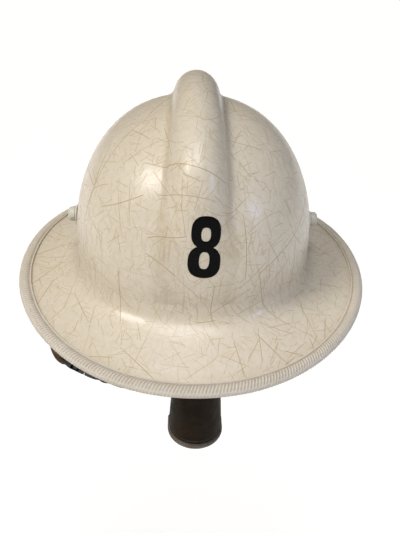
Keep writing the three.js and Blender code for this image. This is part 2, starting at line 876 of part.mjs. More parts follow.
// ---------------------------------------------------------------- buckle
// In the buckle's own axes: along the strap, across it, and out of its face.
function strapSlot(end) {
  return block([-1.6, -10.5, -6], [1.6, 10.5, 6]).translate(end * 17.1, 0, 0);
}

function buckleSocket() {
  return cut(
    block([-buckleHalf, -12, -4.5], [2, 12, 4.5]),
    block([-12.5, -9.2, -2.7], [3, 9.2, 2.7]),
    block([-12, -13, -2.7], [-3.5, 13, 2.7]),
    strapSlot(-1),
  );
}

function buckleInsert() {
  const body = block([2.4, -12, -4.5], [buckleHalf, 12, 4.5]);
  const tongue = block([-11, -2.2, -2.3], [3, 2.2, 2.3]);
  return cut(join(body, tongue), strapSlot(1));
}

// A springy arm with a pad that shows in the socket's side window.
function buckleProng(side) {
  const across = (near, far) => (side > 0 ? [near, far] : [-far, -near]);
  const [armLow, armHigh] = across(6, 8.6);
  const [padLow, padHigh] = across(8, 11.4);
  const arm = block([-11.5, armLow, -2.3], [1.9, armHigh, 2.3]);
  const pad = block([-11.5, padLow, -2.3], [-4.5, padHigh, 2.3]);
  return join(arm, pad);
}

const buckleMatrix = fittingMatrix(buckleAxes, buckleCentre);
const buckleParts = {
  buckle_socket: buckleSocket(),
  buckle_insert: buckleInsert(),
  buckle_prong_front: buckleProng(1),
  buckle_prong_rear: buckleProng(-1),
};
for (const [name, geometry] of Object.entries(buckleParts)) {
  addPart(name, geometry.applyMatrix4(buckleMatrix), blackPlastic);
}

// ---------------------------------------------------------------- chin cup
// A D-shaped outline: round at the front, straight legs towards the rear.
function cupOutline(radius, legs) {
  const round = Array.from({ length: 17 }, (_, step) => {
    const angle = -(step / 16) * Math.PI;
    return new THREE.Vector2(radius * Math.cos(angle), radius * Math.sin(angle));
  });
  return [new THREE.Vector2(radius, legs), ...round, new THREE.Vector2(-radius, legs)];
}

// The cup narrows from its foot to its mouth.
function tapered(geometry) {
  const position = geometry.getAttribute("position");
  for (let index = 0; index < position.count; index += 1) {
    const share = position.getZ(index) / cupHeight;
    const scale = THREE.MathUtils.lerp(1, cupMouthRadius / cupFootRadius, share);
    position.setX(index, position.getX(index) * scale);
    position.setY(index, position.getY(index) * scale);
  }
  return geometry.translate(cupCentre.x, cupCentre.y, cupCentre.z);
}

function rivetHole() {
  const profile = [[0, -40], [2.1, -40], [2.1, 40], [0, 40]];
  return turnedAboutX(profile, 12).translate(cupRivet.x, cupRivet.y, cupRivet.z);
}

function chinCup() {
  const outside = tapered(raised(cupOutline(cupFootRadius, cupLegs), [], 0, cupHeight));
  const inside = tapered(raised(cupOutline(cupFootRadius - cupWall, cupLegs + 10), [], 4, cupHeight + 2));
  return cut(outside, inside, rivetHole());
}

addPart("chin_cup", chinCup(), darkLeather);

function cupLining() {
  const radius = cupFootRadius - cupWall - touchGap;
  const outer = cupOutline(radius, cupLegs - 2);
  const inner = cupOutline(radius - 2.2, cupLegs - 2);
  return tapered(raised([...outer, ...inner.reverse()], [], 4 + touchGap, 50));
}

addPart("chin_cup_lining", cupLining(), paleLeather);

function cupRim() {
  const beadRadius = 3.1;
  const height = cupCentre.z - beadRadius - touchGap;
  const route = new THREE.CatmullRomCurve3(
    cupOutline(cupFootRadius - beadRadius + 1, cupLegs).map(
      (point) => new THREE.Vector3(point.x + cupCentre.x, point.y + cupCentre.y, height),
    ),
  );
  const section = new THREE.Shape().absarc(0, 0, beadRadius, 0, 2 * Math.PI, false);
  return new THREE.ExtrudeGeometry(section, { extrudePath: route, steps: 24, curveSegments: 4 });
}

addPart("chin_cup_rim", cupRim(), paleLeather);

// A flat wire loop with a riveted ear, one at each side of the cup.
const earStart = 22.8;
const loopHalf = 12.5;

function cupLoop() {
  const ear = block([earStart, -loopHalf, -5], [earStart + 1.2, loopHalf, 5]);
  const bore = turnedAboutX([[0, 0], [2.1, 0], [2.1, 40], [0, 40]], 12);
  const armRear = block([earStart + 0.5, loopHalf - 1.7, -1], [loopReach, loopHalf, 1]);
  const armFront = block([earStart + 0.5, -loopHalf, -1], [loopReach, 1.7 - loopHalf, 1]);
  const bar = block([loopReach - 3, -loopHalf, -1], [loopReach, loopHalf, 1]);
  return join(cut(ear, bore), armRear, armFront, bar);
}

function cupRivetBody() {
  const headStart = earStart + 1.2 + touchGap;
  return turnedAboutX(
    [
      [0, 16.4],
      [3.4, 16.4],
      [3.4, 17.6],
      [1.8, 17.6],
      [1.8, headStart],
      [3.4, headStart],
      [3, headStart + 1.2],
      [0, headStart + 1.2],
    ],
    12,
  );
}

for (const [name, geometry] of Object.entries({ cup_loop: cupLoop(), cup_rivet: cupRivetBody() })) {
  const place = [cupRivet.x, cupRivet.y, cupRivet.z];
  addPart(`${name}_right`, geometry.clone().translate(...place), steel);
  addPart(`${name}_left`, mirrored(geometry).translate(...place), steel);
}

export default helmet;
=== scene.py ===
"""Firefighter helmet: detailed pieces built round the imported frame, in the same axes.

The front faces -Y and +Z is up. Shapes are worked out in millimetres; Blender objects are in metres.
"""

import math

import bmesh
import bpy
import numpy as np
from mathutils import Matrix, Vector


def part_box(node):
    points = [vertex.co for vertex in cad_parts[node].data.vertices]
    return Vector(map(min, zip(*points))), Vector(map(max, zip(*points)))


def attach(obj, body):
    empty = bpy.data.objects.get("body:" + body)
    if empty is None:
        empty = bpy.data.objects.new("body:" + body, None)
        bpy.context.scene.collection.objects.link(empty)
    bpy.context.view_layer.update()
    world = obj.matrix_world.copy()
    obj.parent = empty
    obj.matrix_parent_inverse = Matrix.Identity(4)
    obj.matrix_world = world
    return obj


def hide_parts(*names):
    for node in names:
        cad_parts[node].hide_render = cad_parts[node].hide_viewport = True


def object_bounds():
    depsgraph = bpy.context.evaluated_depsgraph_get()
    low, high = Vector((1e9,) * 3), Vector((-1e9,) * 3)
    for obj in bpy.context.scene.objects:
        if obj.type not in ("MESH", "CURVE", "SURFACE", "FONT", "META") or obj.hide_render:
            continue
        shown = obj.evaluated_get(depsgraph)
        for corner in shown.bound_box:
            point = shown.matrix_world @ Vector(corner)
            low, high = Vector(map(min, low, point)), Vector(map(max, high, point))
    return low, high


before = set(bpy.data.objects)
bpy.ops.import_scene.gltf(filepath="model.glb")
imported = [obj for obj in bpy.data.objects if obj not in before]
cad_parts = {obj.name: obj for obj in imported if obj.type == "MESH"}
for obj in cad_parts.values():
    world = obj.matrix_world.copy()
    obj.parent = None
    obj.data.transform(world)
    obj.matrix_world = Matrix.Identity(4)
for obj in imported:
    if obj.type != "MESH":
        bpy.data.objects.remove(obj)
cad_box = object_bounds()

MM = 0.001


def node_box(node):
    """Lowest and highest corner of a frame node, in millimetres."""
    low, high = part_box(node)
    return np.array(low) / MM, np.array(high) / MM


# ---------------------------------------------------------------- driving dimensions
SHELL_LOW, SHELL_HIGH = node_box("outer_shell")
COMB_RISE = 19.0
COMB_HALF_WIDTH = 19.5
COMB_FOOT_HALF_WIDTH = 23.5
COMB_FILLET = 5.0
COMB_FRONT = (13.0, 52.0)
COMB_NARROWING = (24.0, 90.0)
COMB_REAR = (108.0, 174.0)
CROWN_HALF_WIDTH = 101.0
CROWN_FRONT = 107.0
CROWN_REAR = 125.0
CROWN_BASE = 24.0
CROWN_TOP = SHELL_HIGH[2] - COMB_RISE
OVAL_POWER = 2.16
DOME_POWER = 2.3
SHELL_THICKNESS = 3.0
BRIM_HALF_WIDTH = SHELL_HIGH[0]
BRIM_FRONT = -SHELL_LOW[1]
BRIM_REAR = SHELL_HIGH[1]
BRIM_POWER = 2.07
BRIM_DROPS = (14.0, 20.0)
BRIM_ROOT_RISE = 0.36


# ---------------------------------------------------------------- shell surfaces
def smoothstep(value, low, high):
    share = np.clip((value - low) / (high - low), 0.0, 1.0)
    return share * share * (3.0 - 2.0 * share)


def unit(vectors):
    vectors = np.asarray(vectors, float)
    return vectors / np.linalg.norm(vectors, axis=-1, keepdims=True)


def oval_radius(azimuth, half_width, front, rear, power):
    length = np.where(np.sin(azimuth) < 0, front, rear)
    across = np.abs(np.cos(azimuth) / half_width) ** power
    along = np.abs(np.sin(azimuth) / length) ** power
    return (across + along) ** (-1.0 / power)


def dome_radius(direction):
    x, y, z = np.moveaxis(direction, -1, 0)
    length = np.where(y < 0, CROWN_FRONT, CROWN_REAR)
    flat = np.abs(x / CROWN_HALF_WIDTH) ** OVAL_POWER + np.abs(y / length) ** OVAL_POWER
    upward = np.abs(z / (CROWN_TOP - CROWN_BASE)) ** DOME_POWER
    return (flat ** (DOME_POWER / OVAL_POWER) + upward) ** (-1.0 / DOME_POWER)


def comb_arc(direction):
    """The comb's section in a direction: its radius, how deep its centre lies, and its fillet."""
    angle = np.degrees(np.arctan2(direction[..., 2], -direction[..., 1]))
    rear = 1.0 - smoothstep(angle, *COMB_REAR)
    rise = np.maximum(COMB_RISE * smoothstep(angle, *COMB_FRONT) * rear, 0.05)
    narrow = smoothstep(angle, *COMB_NARROWING) * rear
    half_width = COMB_FOOT_HALF_WIDTH + (COMB_HALF_WIDTH - COMB_FOOT_HALF_WIDTH) * narrow
    radius = (half_width**2 + rise**2) / (2.0 * rise)
    return radius, radius - rise, np.minimum(COMB_FILLET, rise)


def height_over_shell(direction, height, arc):
    """How far a point at a height over the dome lies outside the shell, and how much comb is there."""
    radius, sink, fillet = arc
    sideways = (dome_radius(direction) + height) * direction[..., 0]
    over_comb = np.hypot(sideways, height + sink) - radius
    share = np.clip(0.5 + (height - over_comb) / (2.0 * fillet), 0.0, 1.0)
    return height + (over_comb - height) * share - fillet * share * (1.0 - share), share


def crown_points(direction, inset=0.0):
    """Points of the crown in directions from the base centre, and the share of comb at each."""
    arc = comb_arc(direction)
    low = np.full(direction.shape[:-1], -inset - COMB_FILLET)
    high = np.full(direction.shape[:-1], COMB_RISE + COMB_FILLET)
    for _ in range(30):
        middle = (low + high) / 2.0
        height, share = height_over_shell(direction, middle, arc)
        low = np.where(height < -inset, middle, low)
        high = np.where(height < -inset, high, middle)
    points = direction * (dome_radius(direction) + low)[..., None]
    return points + np.array([0.0, 0.0, CROWN_BASE]), share


def dome_points(direction, inset):
    points = direction * (dome_radius(direction) - inset)[..., None]
    return points + np.array([0.0, 0.0, CROWN_BASE])


def direction_at(azimuth, polar):
    flat = np.sin(polar)
    return np.stack([np.cos(azimuth) * flat, np.sin(azimuth) * flat, np.cos(polar) + 0.0 * azimuth], -1)


def brim_section(azimuth, share, inset=0.0):
    """The brim's section as (distance from +Z, height), from its root (0) to its edge (1)."""
    root = oval_radius(azimuth, CROWN_HALF_WIDTH, CROWN_FRONT, CROWN_REAR, OVAL_POWER)
    rim = oval_radius(azimuth, BRIM_HALF_WIDTH, BRIM_FRONT, BRIM_REAR, BRIM_POWER)
    drop = np.where(np.sin(azimuth) < 0, *BRIM_DROPS)
    edge = -drop * np.sin(azimuth) ** 2
    corners = [
        (root - inset, CROWN_BASE),
        (root + 0.5 - inset, 1.0 - edge * BRIM_ROOT_RISE - inset * 0.5),
        (root * 0.74 + rim * 0.26, 1.0 - edge * BRIM_ROOT_RISE * 0.7 - inset),
        (rim, edge - inset),
    ]
    rest = 1.0 - share
    weights = (rest**3, 3 * rest**2 * share, 3 * rest * share**2, share**3)
    return tuple(sum(w * c[axis] for w, c in zip(weights, corners)) for axis in (0, 1))


def brim_points(azimuth, share, inset=0.0):
    radius, height = brim_section(azimuth, share, inset)
    return np.stack([radius * np.cos(azimuth), radius * np.sin(azimuth), height], -1)


def seated(start, ray, clearance):
    """Points moved along a ray until they lie at a clearance over the crown."""
    low = np.full(len(start), -25.0)
    high = np.full(len(start), 25.0)
    clearance = np.broadcast_to(clearance, low.shape)
    for _ in range(30):
        middle = (low + high) / 2.0
        arm = start + ray * middle[:, None] - np.array([0.0, 0.0, CROWN_BASE])
        length = np.linalg.norm(arm, axis=-1)
        direction = arm / length[:, None]
        height = height_over_shell(direction, length - dome_radius(direction), comb_arc(direction))[0]
        low = np.where(height < clearance, middle, low)
        high = np.where(height < clearance, high, middle)
    return start + ray * low[:, None]


# ---------------------------------------------------------------- mesh helpers
SIDES = ((-1, "left"), (1, "right"))


def linked(name, data):
    """A new object in the scene."""
    obj = bpy.data.objects.new(name, data)
    bpy.context.scene.collection.objects.link(obj)
    return obj


def mesh_object(name, points, faces):
    """A mesh object from points in millimetres."""
    mesh = bpy.data.meshes.new(name)
    mesh.from_pydata((np.asarray(points, float).reshape(-1, 3) * MM).tolist(), [], faces)
    return linked(name, mesh)


def piece(name, points, faces, material, body, replaces=(), smooth_angle=40.0):
    """A mesh object from points in millimetres, riding on a body of the frame."""
    obj = mesh_object(name, points, faces)
    obj.data.validate()
    return finished(obj, material, body, replaces, smooth_angle)


def finished(obj, material, body, replaces=(), smooth_angle=40.0):
    """Cleans a new object's mesh, shades it and ties it to the frame."""
    edited = bmesh.new()
    edited.from_mesh(obj.data)
    bmesh.ops.remove_doubles(edited, verts=edited.verts, dist=1e-6)
    bmesh.ops.recalc_face_normals(edited, faces=edited.faces)
    edited.to_mesh(obj.data)
    edited.free()
    obj.data.shade_smooth()
    if smooth_angle < 180.0:
        obj.data.set_sharp_from_angle(angle=math.radians(smooth_angle))
    if not obj.data.materials:
        obj.data.materials.append(material)
    if replaces:
        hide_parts(*replaces)
    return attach(obj, body)


def grid_faces(rows, columns, wrap_rows=False, wrap_columns=False):
    """Quads of a grid of points stored row by row."""
    faces = []
    for row in range(rows if wrap_rows else rows - 1):
        after = (row + 1) % rows
        for column in range(columns if wrap_columns else columns - 1):
            beside = (column + 1) % columns
            faces.append(
                (row * columns + column, row * columns + beside, after * columns + beside,
                after * columns + column)
            )
    return faces


def tube_faces(rings, sides):
    """Quads of a row of closed rings, with a cap at each end."""
    faces = grid_faces(rings, sides, wrap_columns=True)
    faces.append(tuple(range(sides - 1, -1, -1)))
    faces.append(tuple((rings - 1) * sides + side for side in range(sides)))
    return faces


def bevelled(obj, width, segments, angle):
    """Rounds an object's hard edges by a width in millimetres."""
    modifier = obj.modifiers.new("edges", "BEVEL")
    modifier.width = width * MM
    modifier.segments = segments
    modifier.limit_method = "ANGLE"
    modifier.angle_limit = math.radians(angle)
    return obj


# ---------------------------------------------------------------- camera, light and floor
def camera():
    """A hand-held view from the front and above, with the helmet turned a little to one side."""
    elevation, roll, turn = (math.radians(angle) for angle in (32.8, 2.46, -2.4))
    reach = 554.0
    back = Vector((0.0, -math.cos(elevation), math.sin(elevation)))
    level = Vector((1.0, 0.0, 0.0))
    upright = back.cross(level)
    right = level * math.cos(roll) + upright * math.sin(roll)
    up = upright * math.cos(roll) - level * math.sin(roll)
    place = back * reach + right * 7.2 - up * 8.9
    data = bpy.data.cameras.new("camera")
    data.sensor_width = 36.0
    data.lens = 40.7
    data.clip_start = 0.01
    obj = linked("camera", data)
    axes = Matrix((right, up, back)).transposed().to_4x4()
    obj.matrix_world = Matrix.Rotation(turn, 4, "Z") @ Matrix.Translation(place * MM) @ axes
    bpy.context.scene.camera = obj


def area_light(name, place, target, size, power, colour):
    data = bpy.data.lights.new(name, "AREA")
    data.shape = "RECTANGLE"
    data.size, data.size_y = size
    data.energy = power
    data.color = colour
    obj = linked(name, data)
    obj.location = place
    obj.rotation_mode = "QUATERNION"
    obj.rotation_quaternion = (Vector(target) - Vector(place)).to_track_quat("-Z", "Y")


def sun_light(name, direction, spread, strength, colour):
    """A far light from a direction, as soft as its spread in degrees."""
    data = bpy.data.lights.new(name, "SUN")
    data.angle = math.radians(spread)
    data.energy = strength
    data.color = colour
    obj = linked(name, data)
    obj.rotation_mode = "QUATERNION"
    obj.rotation_quaternion = (-Vector(direction)).to_track_quat("-Z", "Y")


def studio():
    """Soft lights round the object, and a dim surround behind a pale backdrop."""
    world = bpy.data.worlds.new("studio")
    bpy.context.scene.world = world
    world.use_nodes = True
    nodes, links = world.node_tree.nodes, world.node_tree.links
    dim = nodes["Background"]
    dim.inputs["Color"].default_value = (0.93, 0.96, 1.0, 1.0)
    dim.inputs["Strength"].default_value = 0.07
    backdrop = nodes.new("ShaderNodeBackground")
    backdrop.inputs["Color"].default_value = (0.93, 0.93, 0.925, 1.0)
    chosen = nodes.new("ShaderNodeMixShader")
    links.new(nodes.new("ShaderNodeLightPath").outputs["Is Camera Ray"], chosen.inputs[0])
    links.new(dim.outputs[0], chosen.inputs[1])
    links.new(backdrop.outputs[0], chosen.inputs[2])
    links.new(chosen.outputs[0], nodes["World Output"].inputs["Surface"])
    sun_light("key", (-0.60, -0.29, 0.73), 22.0, 1.75, (1.0, 0.965, 0.91))
    sun_light("overhead", (-0.04, -0.33, 0.94), 30.0, 1.42, (1.0, 0.99, 0.97))
    area_light("window", (1.2, -0.75, 0.6), (0.0, 0.0, 0.1), (0.06, 0.35), 3.0, (0.4, 0.58, 1.0))
    bpy.context.scene.view_settings.view_transform = "Standard"


def floor():
    """A wide pale floor, well below the hanging strap so that no shadow shows beside the helmet."""
    half, height = 14.0, cad_box[0][2] - 1.4
    mesh = bpy.data.meshes.new("floor")
    corners = [(x * half, y * half, height) for x, y in ((-1, -1), (1, -1), (1, 1), (-1, 1))]
    mesh.from_pydata(corners, [], [(0, 1, 2, 3)])
    obj = linked("floor", mesh)
    material = bpy.data.materials.new("floor_paper")
    material.use_nodes = True
    shader = material.node_tree.nodes["Principled BSDF"]
    shader.inputs["Base Color"].default_value = (0.95, 0.95, 0.95, 1.0)
    shader.inputs["Roughness"].default_value = 1.0
    shader.inputs["Specular IOR Level"].default_value = 0.0
    shader.inputs["Emission Color"].default_value = (1.0, 1.0, 1.0, 1.0)
    shader.inputs["Emission Strength"].default_value = 0.18
    mesh.materials.append(material)


camera()
studio()
floor()


# ---------------------------------------------------------------- node materials
class Finish:
    """A node material on a Principled shader. Texture places are object coordinates in metres."""

    def __init__(self, name, **settings):
        self.material = bpy.data.materials.new(name)
        self.material.use_nodes = True
        self.tree = self.material.node_tree
        self.shader = self.tree.nodes["Principled BSDF"]
        self.coordinates = self.tree.nodes.new("ShaderNodeTexCoord")
        self.place = self.coordinates.outputs["Object"]
        self.set(**settings)

    def set(self, **settings):
        for name, value in settings.items():
            self.put(self.shader.inputs[name.replace("_", " ")], value)
        return self

    def put(self, socket, value):
        if isinstance(value, bpy.types.NodeSocket):
            self.tree.links.new(value, socket)
        elif socket.type == "RGBA" and len(value) == 3:
            socket.default_value = (*value, 1.0)
        else:
            socket.default_value = value

    def node(self, kind, inputs, **settings):
        node = self.tree.nodes.new("ShaderNode" + kind)
        for name, value in settings.items():
            setattr(node, name, value)
        for name, value in inputs.items():
            self.put(node.inputs[name], value)
        return node

    def math(self, operation, first, second=0.0):
        return self.node("Math", {0: first, 1: second}, operation=operation).outputs[0]

    def times(self, first, second):
        return self.math("MULTIPLY", first, second)

    def plus(self, first, second):
        return self.math("ADD", first, second)

    def vector(self, operation, first, second=(0.0, 0.0, 0.0)):
        node = self.node("VectorMath", {0: first, 1: second}, operation=operation)
        return node.outputs["Value" if operation in ("DOT_PRODUCT", "LENGTH", "DISTANCE") else "Vector"]

    def scaled(self, vector, factor):
        return self.node("VectorMath", {0: vector, "Scale": factor}, operation="SCALE").outputs[0]

    def noise(self, size, detail=2.0, roughness=0.5, stretch=(1.0, 1.0, 1.0), place=None, distortion=0.0):
        """Noise from 0 to 1 whose features are about a size in millimetres."""
        place = self.vector("MULTIPLY", place or self.place, stretch)
        inputs = {"Vector": place, "Scale": 1.0 / (size * MM), "Detail": detail, "Roughness": roughness}
        return self.node("TexNoise", {**inputs, "Distortion": distortion}).outputs["Fac"]

    def attribute(self, name):
        return self.node("Attribute", {}, attribute_name=name).outputs["Fac"]

    def range(self, value, low, high, to_low=0.0, to_high=1.0):
        inputs = {"Value": value, "From Min": low, "From Max": high, "To Min": to_low, "To Max": to_high}
        return self.node("MapRange", inputs).outputs["Result"]

    def mix(self, share, first, second):
        return self.node("Mix", {0: share, 6: first, 7: second}, data_type="RGBA").outputs[2]

    def bump(self, height, depth):
        """A normal from a height of 0 to 1 that stands for a depth in millimetres."""
        inputs = {"Height": height, "Strength": 1.0, "Distance": depth * MM}
        return self.node("Bump", inputs).outputs["Normal"]

    def jittered(self, scale):
        """The texture place, moved about a millimetre by noise."""
        wander = self.node("TexNoise", {"Vector": self.place, "Scale": scale}).outputs["Color"]
        return self.vector("ADD", self.place, self.scaled(wander, 0.0012))

    def scratches(self, cell, width, reach, leaning=(1.0, 1.0, 1.0), seed=0.0, chance=1.0):
        """Straight scratches, one in each cell: a random plane through the cell's point meets the surface."""
        wander = self.node("TexNoise", {"Vector": self.place, "Scale": 14.0, "Detail": 1.0}).outputs["Color"]
        shifted = self.vector("ADD", self.place, (seed, seed * 1.7, seed * 0.6))
        place = self.vector("ADD", shifted, self.scaled(wander, 0.004))
        cells = self.node("TexVoronoi", {"Vector": place, "Scale": 1.0 / (cell * MM)})
        arm = self.vector("SUBTRACT", place, cells.outputs["Position"])
        turned = self.vector("SUBTRACT", cells.outputs["Color"], (0.5, 0.5, 0.5))
        across = self.vector("MULTIPLY", turned, leaning)
        normal = self.coordinates.outputs["Normal"]
        inward = self.scaled(normal, self.vector("DOT_PRODUCT", across, normal))
        tilt = self.vector("LENGTH", self.vector("SUBTRACT", across, inward))
        distance = self.math("DIVIDE", self.math("ABSOLUTE", self.vector("DOT_PRODUCT", arm, across)), tilt)
        length = self.vector("LENGTH", arm)
        line = self.range(distance, width * MM * 0.4, width * MM, 1.0, 0.0)
        end = self.range(length, reach * MM * 0.45, reach * MM, 1.0, 0.0)
        dice = self.node("TexWhiteNoise", {"Vector": cells.outputs["Position"]}).outputs["Value"]
        kept = self.range(dice, 1.0 - chance, 1.0 - chance * 0.4)
        return self.times(self.times(line, end), kept)

    def streaks(self, axis, size, length, seed):
        """Long thin lines that run nearly one way: level lines of a noise drawn out along an axis."""
        bands, width = 4.0, 0.14
        axis = tuple(Vector(axis).normalized())
        reach = self.times(self.vector("DOT_PRODUCT", self.place, axis), size / length - 1.0)
        place = self.vector("ADD", self.place, self.scaled(axis, reach))
        place = self.vector("ADD", place, (seed, seed, seed))
        level = self.math("PINGPONG", self.times(self.noise(size, 1.0, 0.4, place=place), bands), 0.5)
        line = self.range(level, 0.0, 1.2 * width * bands / size, 1.0, 0.0)
        facing = self.math("ABSOLUTE", self.vector("DOT_PRODUCT", self.coordinates.outputs["Normal"], axis))
        return self.times(line, self.range(facing, 0.3, 0.55, 1.0, 0.0))

    def clustered(self, size, low, seed):
        """Soft patches from 0 to 1."""
        place = self.vector("ADD", self.place, (seed, seed, seed))
        return self.range(self.noise(size, 2.0, place=place), low, low + 0.12)


def strongest(finish, values):
    total = values[0]
    for value in values[1:]:
        total = finish.math("MAXIMUM", total, value)
    return total


def shaded(colour, share):
    return tuple(value * share for value in colour)


def shell_paint():
    """Aged cream gel coat: yellowed, crossed by ochre scratches, darkened in the hollows by dirt and painted
    shade.
    """
    f = Finish("shell_paint", Coat_Weight=0.35, Coat_Roughness=0.16)
    patches = f.noise(60.0, 3.0, 0.55)
    mottle = f.noise(5.0, 4.0, 0.65)
    base = f.mix(patches, (0.74, 0.67, 0.565), (0.71, 0.63, 0.505))
    base = f.mix(f.range(mottle, 0.35, 0.7), base, (0.675, 0.595, 0.465))
    squiggle = f.math("ABSOLUTE", f.math("SUBTRACT", f.noise(4.5, 3.0, 0.6, distortion=0.6), 0.5))
    craze = f.range(squiggle, 0.0, 0.018, 1.0, 0.0)
    coloured = f.mix(f.times(craze, 0.22), base, (0.50, 0.36, 0.20))
    fine = [
        f.scratches(7.0, 0.26, 9.0, seed=0.53),
        f.scratches(11.0, 0.3, 14.0, seed=0.71),
        f.scratches(17.0, 0.34, 21.0, (1.0, 0.6, 0.2), 0.11),
        f.scratches(26.0, 0.38, 30.0, seed=0.83),
    ]
    bold = [
        f.scratches(38.0, 0.36, 40.0, (1.0, 0.6, 0.12), 0.31),
        f.scratches(52.0, 0.38, 55.0, seed=0.97),
        f.scratches(90.0, 0.4, 90.0, seed=1.13),
    ]
    region = f.range(f.noise(55.0, 2.0), 0.36, 0.6, 0.6, 1.0)
    thin = f.times(strongest(f, fine), region)
    upright = f.times(f.streaks((0.06, 0.0, 1.0), 6.0, 110.0, 0.0), f.clustered(28.0, 0.44, 0.4))
    rising = f.times(f.streaks((0.8, 0.1, 0.6), 8.0, 120.0, 0.3), f.clustered(34.0, 0.5, 1.4))
    falling = f.times(f.streaks((-0.6, 0.1, 0.8), 8.0, 120.0, 0.7), f.clustered(34.0, 0.5, 2.3))
    thick = strongest(f, bold)
    drawn = f.times(strongest(f, [upright, rising, falling]), 0.5)
    lines = strongest(f, [thin, drawn, thick])
    ink = f.mix(f.noise(25.0), (0.40, 0.265, 0.125), (0.56, 0.42, 0.235))
    coloured = f.mix(f.times(lines, 0.95), coloured, ink)
    coloured = f.mix(f.times(thick, 0.35), coloured, (0.36, 0.23, 0.11))
    # Darker in the comb's creases, at the brim's root and near its edge: dirt together with painted shade in
    # these hollows.
    hollow_grime_and_shade = f.times(f.attribute("hollow_grime_and_shade"), f.range(f.noise(12.0, 3.0), 0.3, 0.7, 0.4, 1.0))
    coloured = f.mix(f.times(hollow_grime_and_shade, 0.35), coloured, (0.42, 0.33, 0.2))
    specks = f.node("TexVoronoi", {"Vector": f.place, "Scale": 45.0})
    dice = f.node("TexWhiteNoise", {"Vector": specks.outputs["Position"]}).outputs["Value"]
    dot = f.range(specks.outputs["Distance"], 0.02, 0.045, 1.0, 0.0)
    speck = f.times(dot, f.math("GREATER_THAN", dice, 0.86))
    coloured = f.mix(f.times(speck, 0.75), coloured, (0.10, 0.07, 0.045))
    gloss = f.range(f.noise(9.0, 4.0, 0.6), 0.3, 0.7, 0.34, 0.5)
    roughness = f.plus(gloss, f.times(lines, 0.25))
    ripple = f.bump(f.noise(2.2, 4.0, 0.7), 0.1)
    return f.set(Base_Color=coloured, Roughness=roughness, Normal=ripple, Coat_Normal=ripple).material


def glass_fibre():
    """The shell's unpainted inside: resin over chopped glass strands."""
    f = Finish("glass_fibre", Roughness=0.5)
    strands = strongest(f, [f.scratches(7.0, 0.7, 9.0, seed=0.3), f.scratches(11.0, 0.8, 14.0, seed=0.6)])
    resin = f.mix(f.noise(30.0, 3.0), (0.40, 0.36, 0.27), (0.50, 0.45, 0.35))
    colour = f.mix(f.times(strands, 0.5), resin, (0.62, 0.58, 0.48))
    return f.set(Base_Color=colour, Normal=f.bump(strands, 0.12)).material


def edge_binding():
    """Off-white plaited binding, darker between its ribs by dirt and painted shade, with painted shade along
    its lower lip.
    """
    f = Finish("edge_binding", Roughness=0.62)
    clean = f.mix(f.noise(22.0, 3.0), (0.72, 0.66, 0.575), (0.64, 0.575, 0.48))
    # The groove mask darkens the hollows between the ribs and the ledge crease: dirt together with painted
    # shade.
    groove = f.attribute("groove")
    groove_dirt_and_shade = f.mix(f.times(groove, f.range(f.noise(8.0), 0.3, 0.7, 0.7, 1.0)), clean, (0.30, 0.245, 0.175))
    # Painted shade: the binding's underside is coloured a near-black blue-grey.
    under = f.mix(f.attribute("under"), groove_dirt_and_shade, (0.055, 0.055, 0.065))
    fuzz = f.noise(0.9, 3.0, 0.65)
    flecked = f.mix(f.range(fuzz, 0.52, 0.72, 0.0, 0.5), under, (0.33, 0.275, 0.205))
    return f.set(Base_Color=flecked, Normal=f.bump(fuzz, 0.3)).material


def numeral_vinyl():
    f = Finish("numeral_vinyl", Specular_IOR_Level=0.06)
    colour = f.mix(f.noise(6.0, 4.0, 0.7), (0.0018, 0.0018, 0.002), (0.005, 0.005, 0.0055))
    worn = f.scratches(7.0, 0.16, 9.0, seed=0.45, chance=0.6)
    colour = f.mix(f.times(worn, 0.3), colour, (0.04, 0.037, 0.034))
    roughness = f.range(f.noise(3.0, 3.0), 0.3, 0.7, 0.22, 0.36)
    return f.set(Base_Color=colour, Roughness=roughness, Normal=f.bump(f.noise(2.5), 0.03)).material


def button_plastic():
    f = Finish("button_plastic", Subsurface_Weight=0.15, Subsurface_Scale=0.002)
    colour = f.mix(f.noise(7.0, 3.0), (0.68, 0.65, 0.575), (0.58, 0.565, 0.50))
    colour = f.mix(f.times(f.scratches(5.0, 0.15, 6.0, seed=0.2), 0.5), colour, (0.3, 0.25, 0.17))
    roughness = f.range(f.noise(3.0, 3.0), 0.3, 0.7, 0.32, 0.5)
    return f.set(Base_Color=colour, Roughness=roughness, Normal=f.bump(f.noise(1.2), 0.03)).material


def steel_finish():
    """Dull zinc-plated steel, stained in places."""
    f = Finish("steel", Metallic=1.0)
    stain = f.range(f.noise(4.0, 4.0, 0.6), 0.52, 0.72)
    colour = f.mix(stain, (0.56, 0.55, 0.53), (0.26, 0.20, 0.15))
    worn = f.scratches(4.0, 0.08, 5.0, seed=0.15)
    colour = f.mix(f.times(worn, 0.5), colour, (0.75, 0.75, 0.74))
    roughness = f.plus(f.range(f.noise(2.0, 4.0), 0.3, 0.7, 0.24, 0.42), f.times(stain, 0.2))
    return f.set(Base_Color=colour, Roughness=roughness, Normal=f.bump(f.noise(0.9, 3.0), 0.02)).material


def moulded_plastic(name, dark, pale, gloss, grain):
    """Moulded plastic with a fine grain and a few pale scuffs."""
    f = Finish(name)
    colour = f.mix(f.noise(9.0, 4.0, 0.6), dark, pale)
    scuffs = f.times(f.scratches(3.5, 0.09, 4.5, seed=0.27, chance=0.7), f.range(f.noise(11.0), 0.45, 0.6))
    colour = f.mix(f.times(scuffs, 0.5), colour, tuple(4.0 * value + 0.02 for value in pale))
    roughness = f.plus(f.range(f.noise(3.0, 3.0), 0.3, 0.7, gloss, gloss + 0.16), f.times(scuffs, 0.2))
    return f.set(Base_Color=colour, Roughness=roughness, Normal=f.bump(f.noise(0.45, 2.0), grain)).material


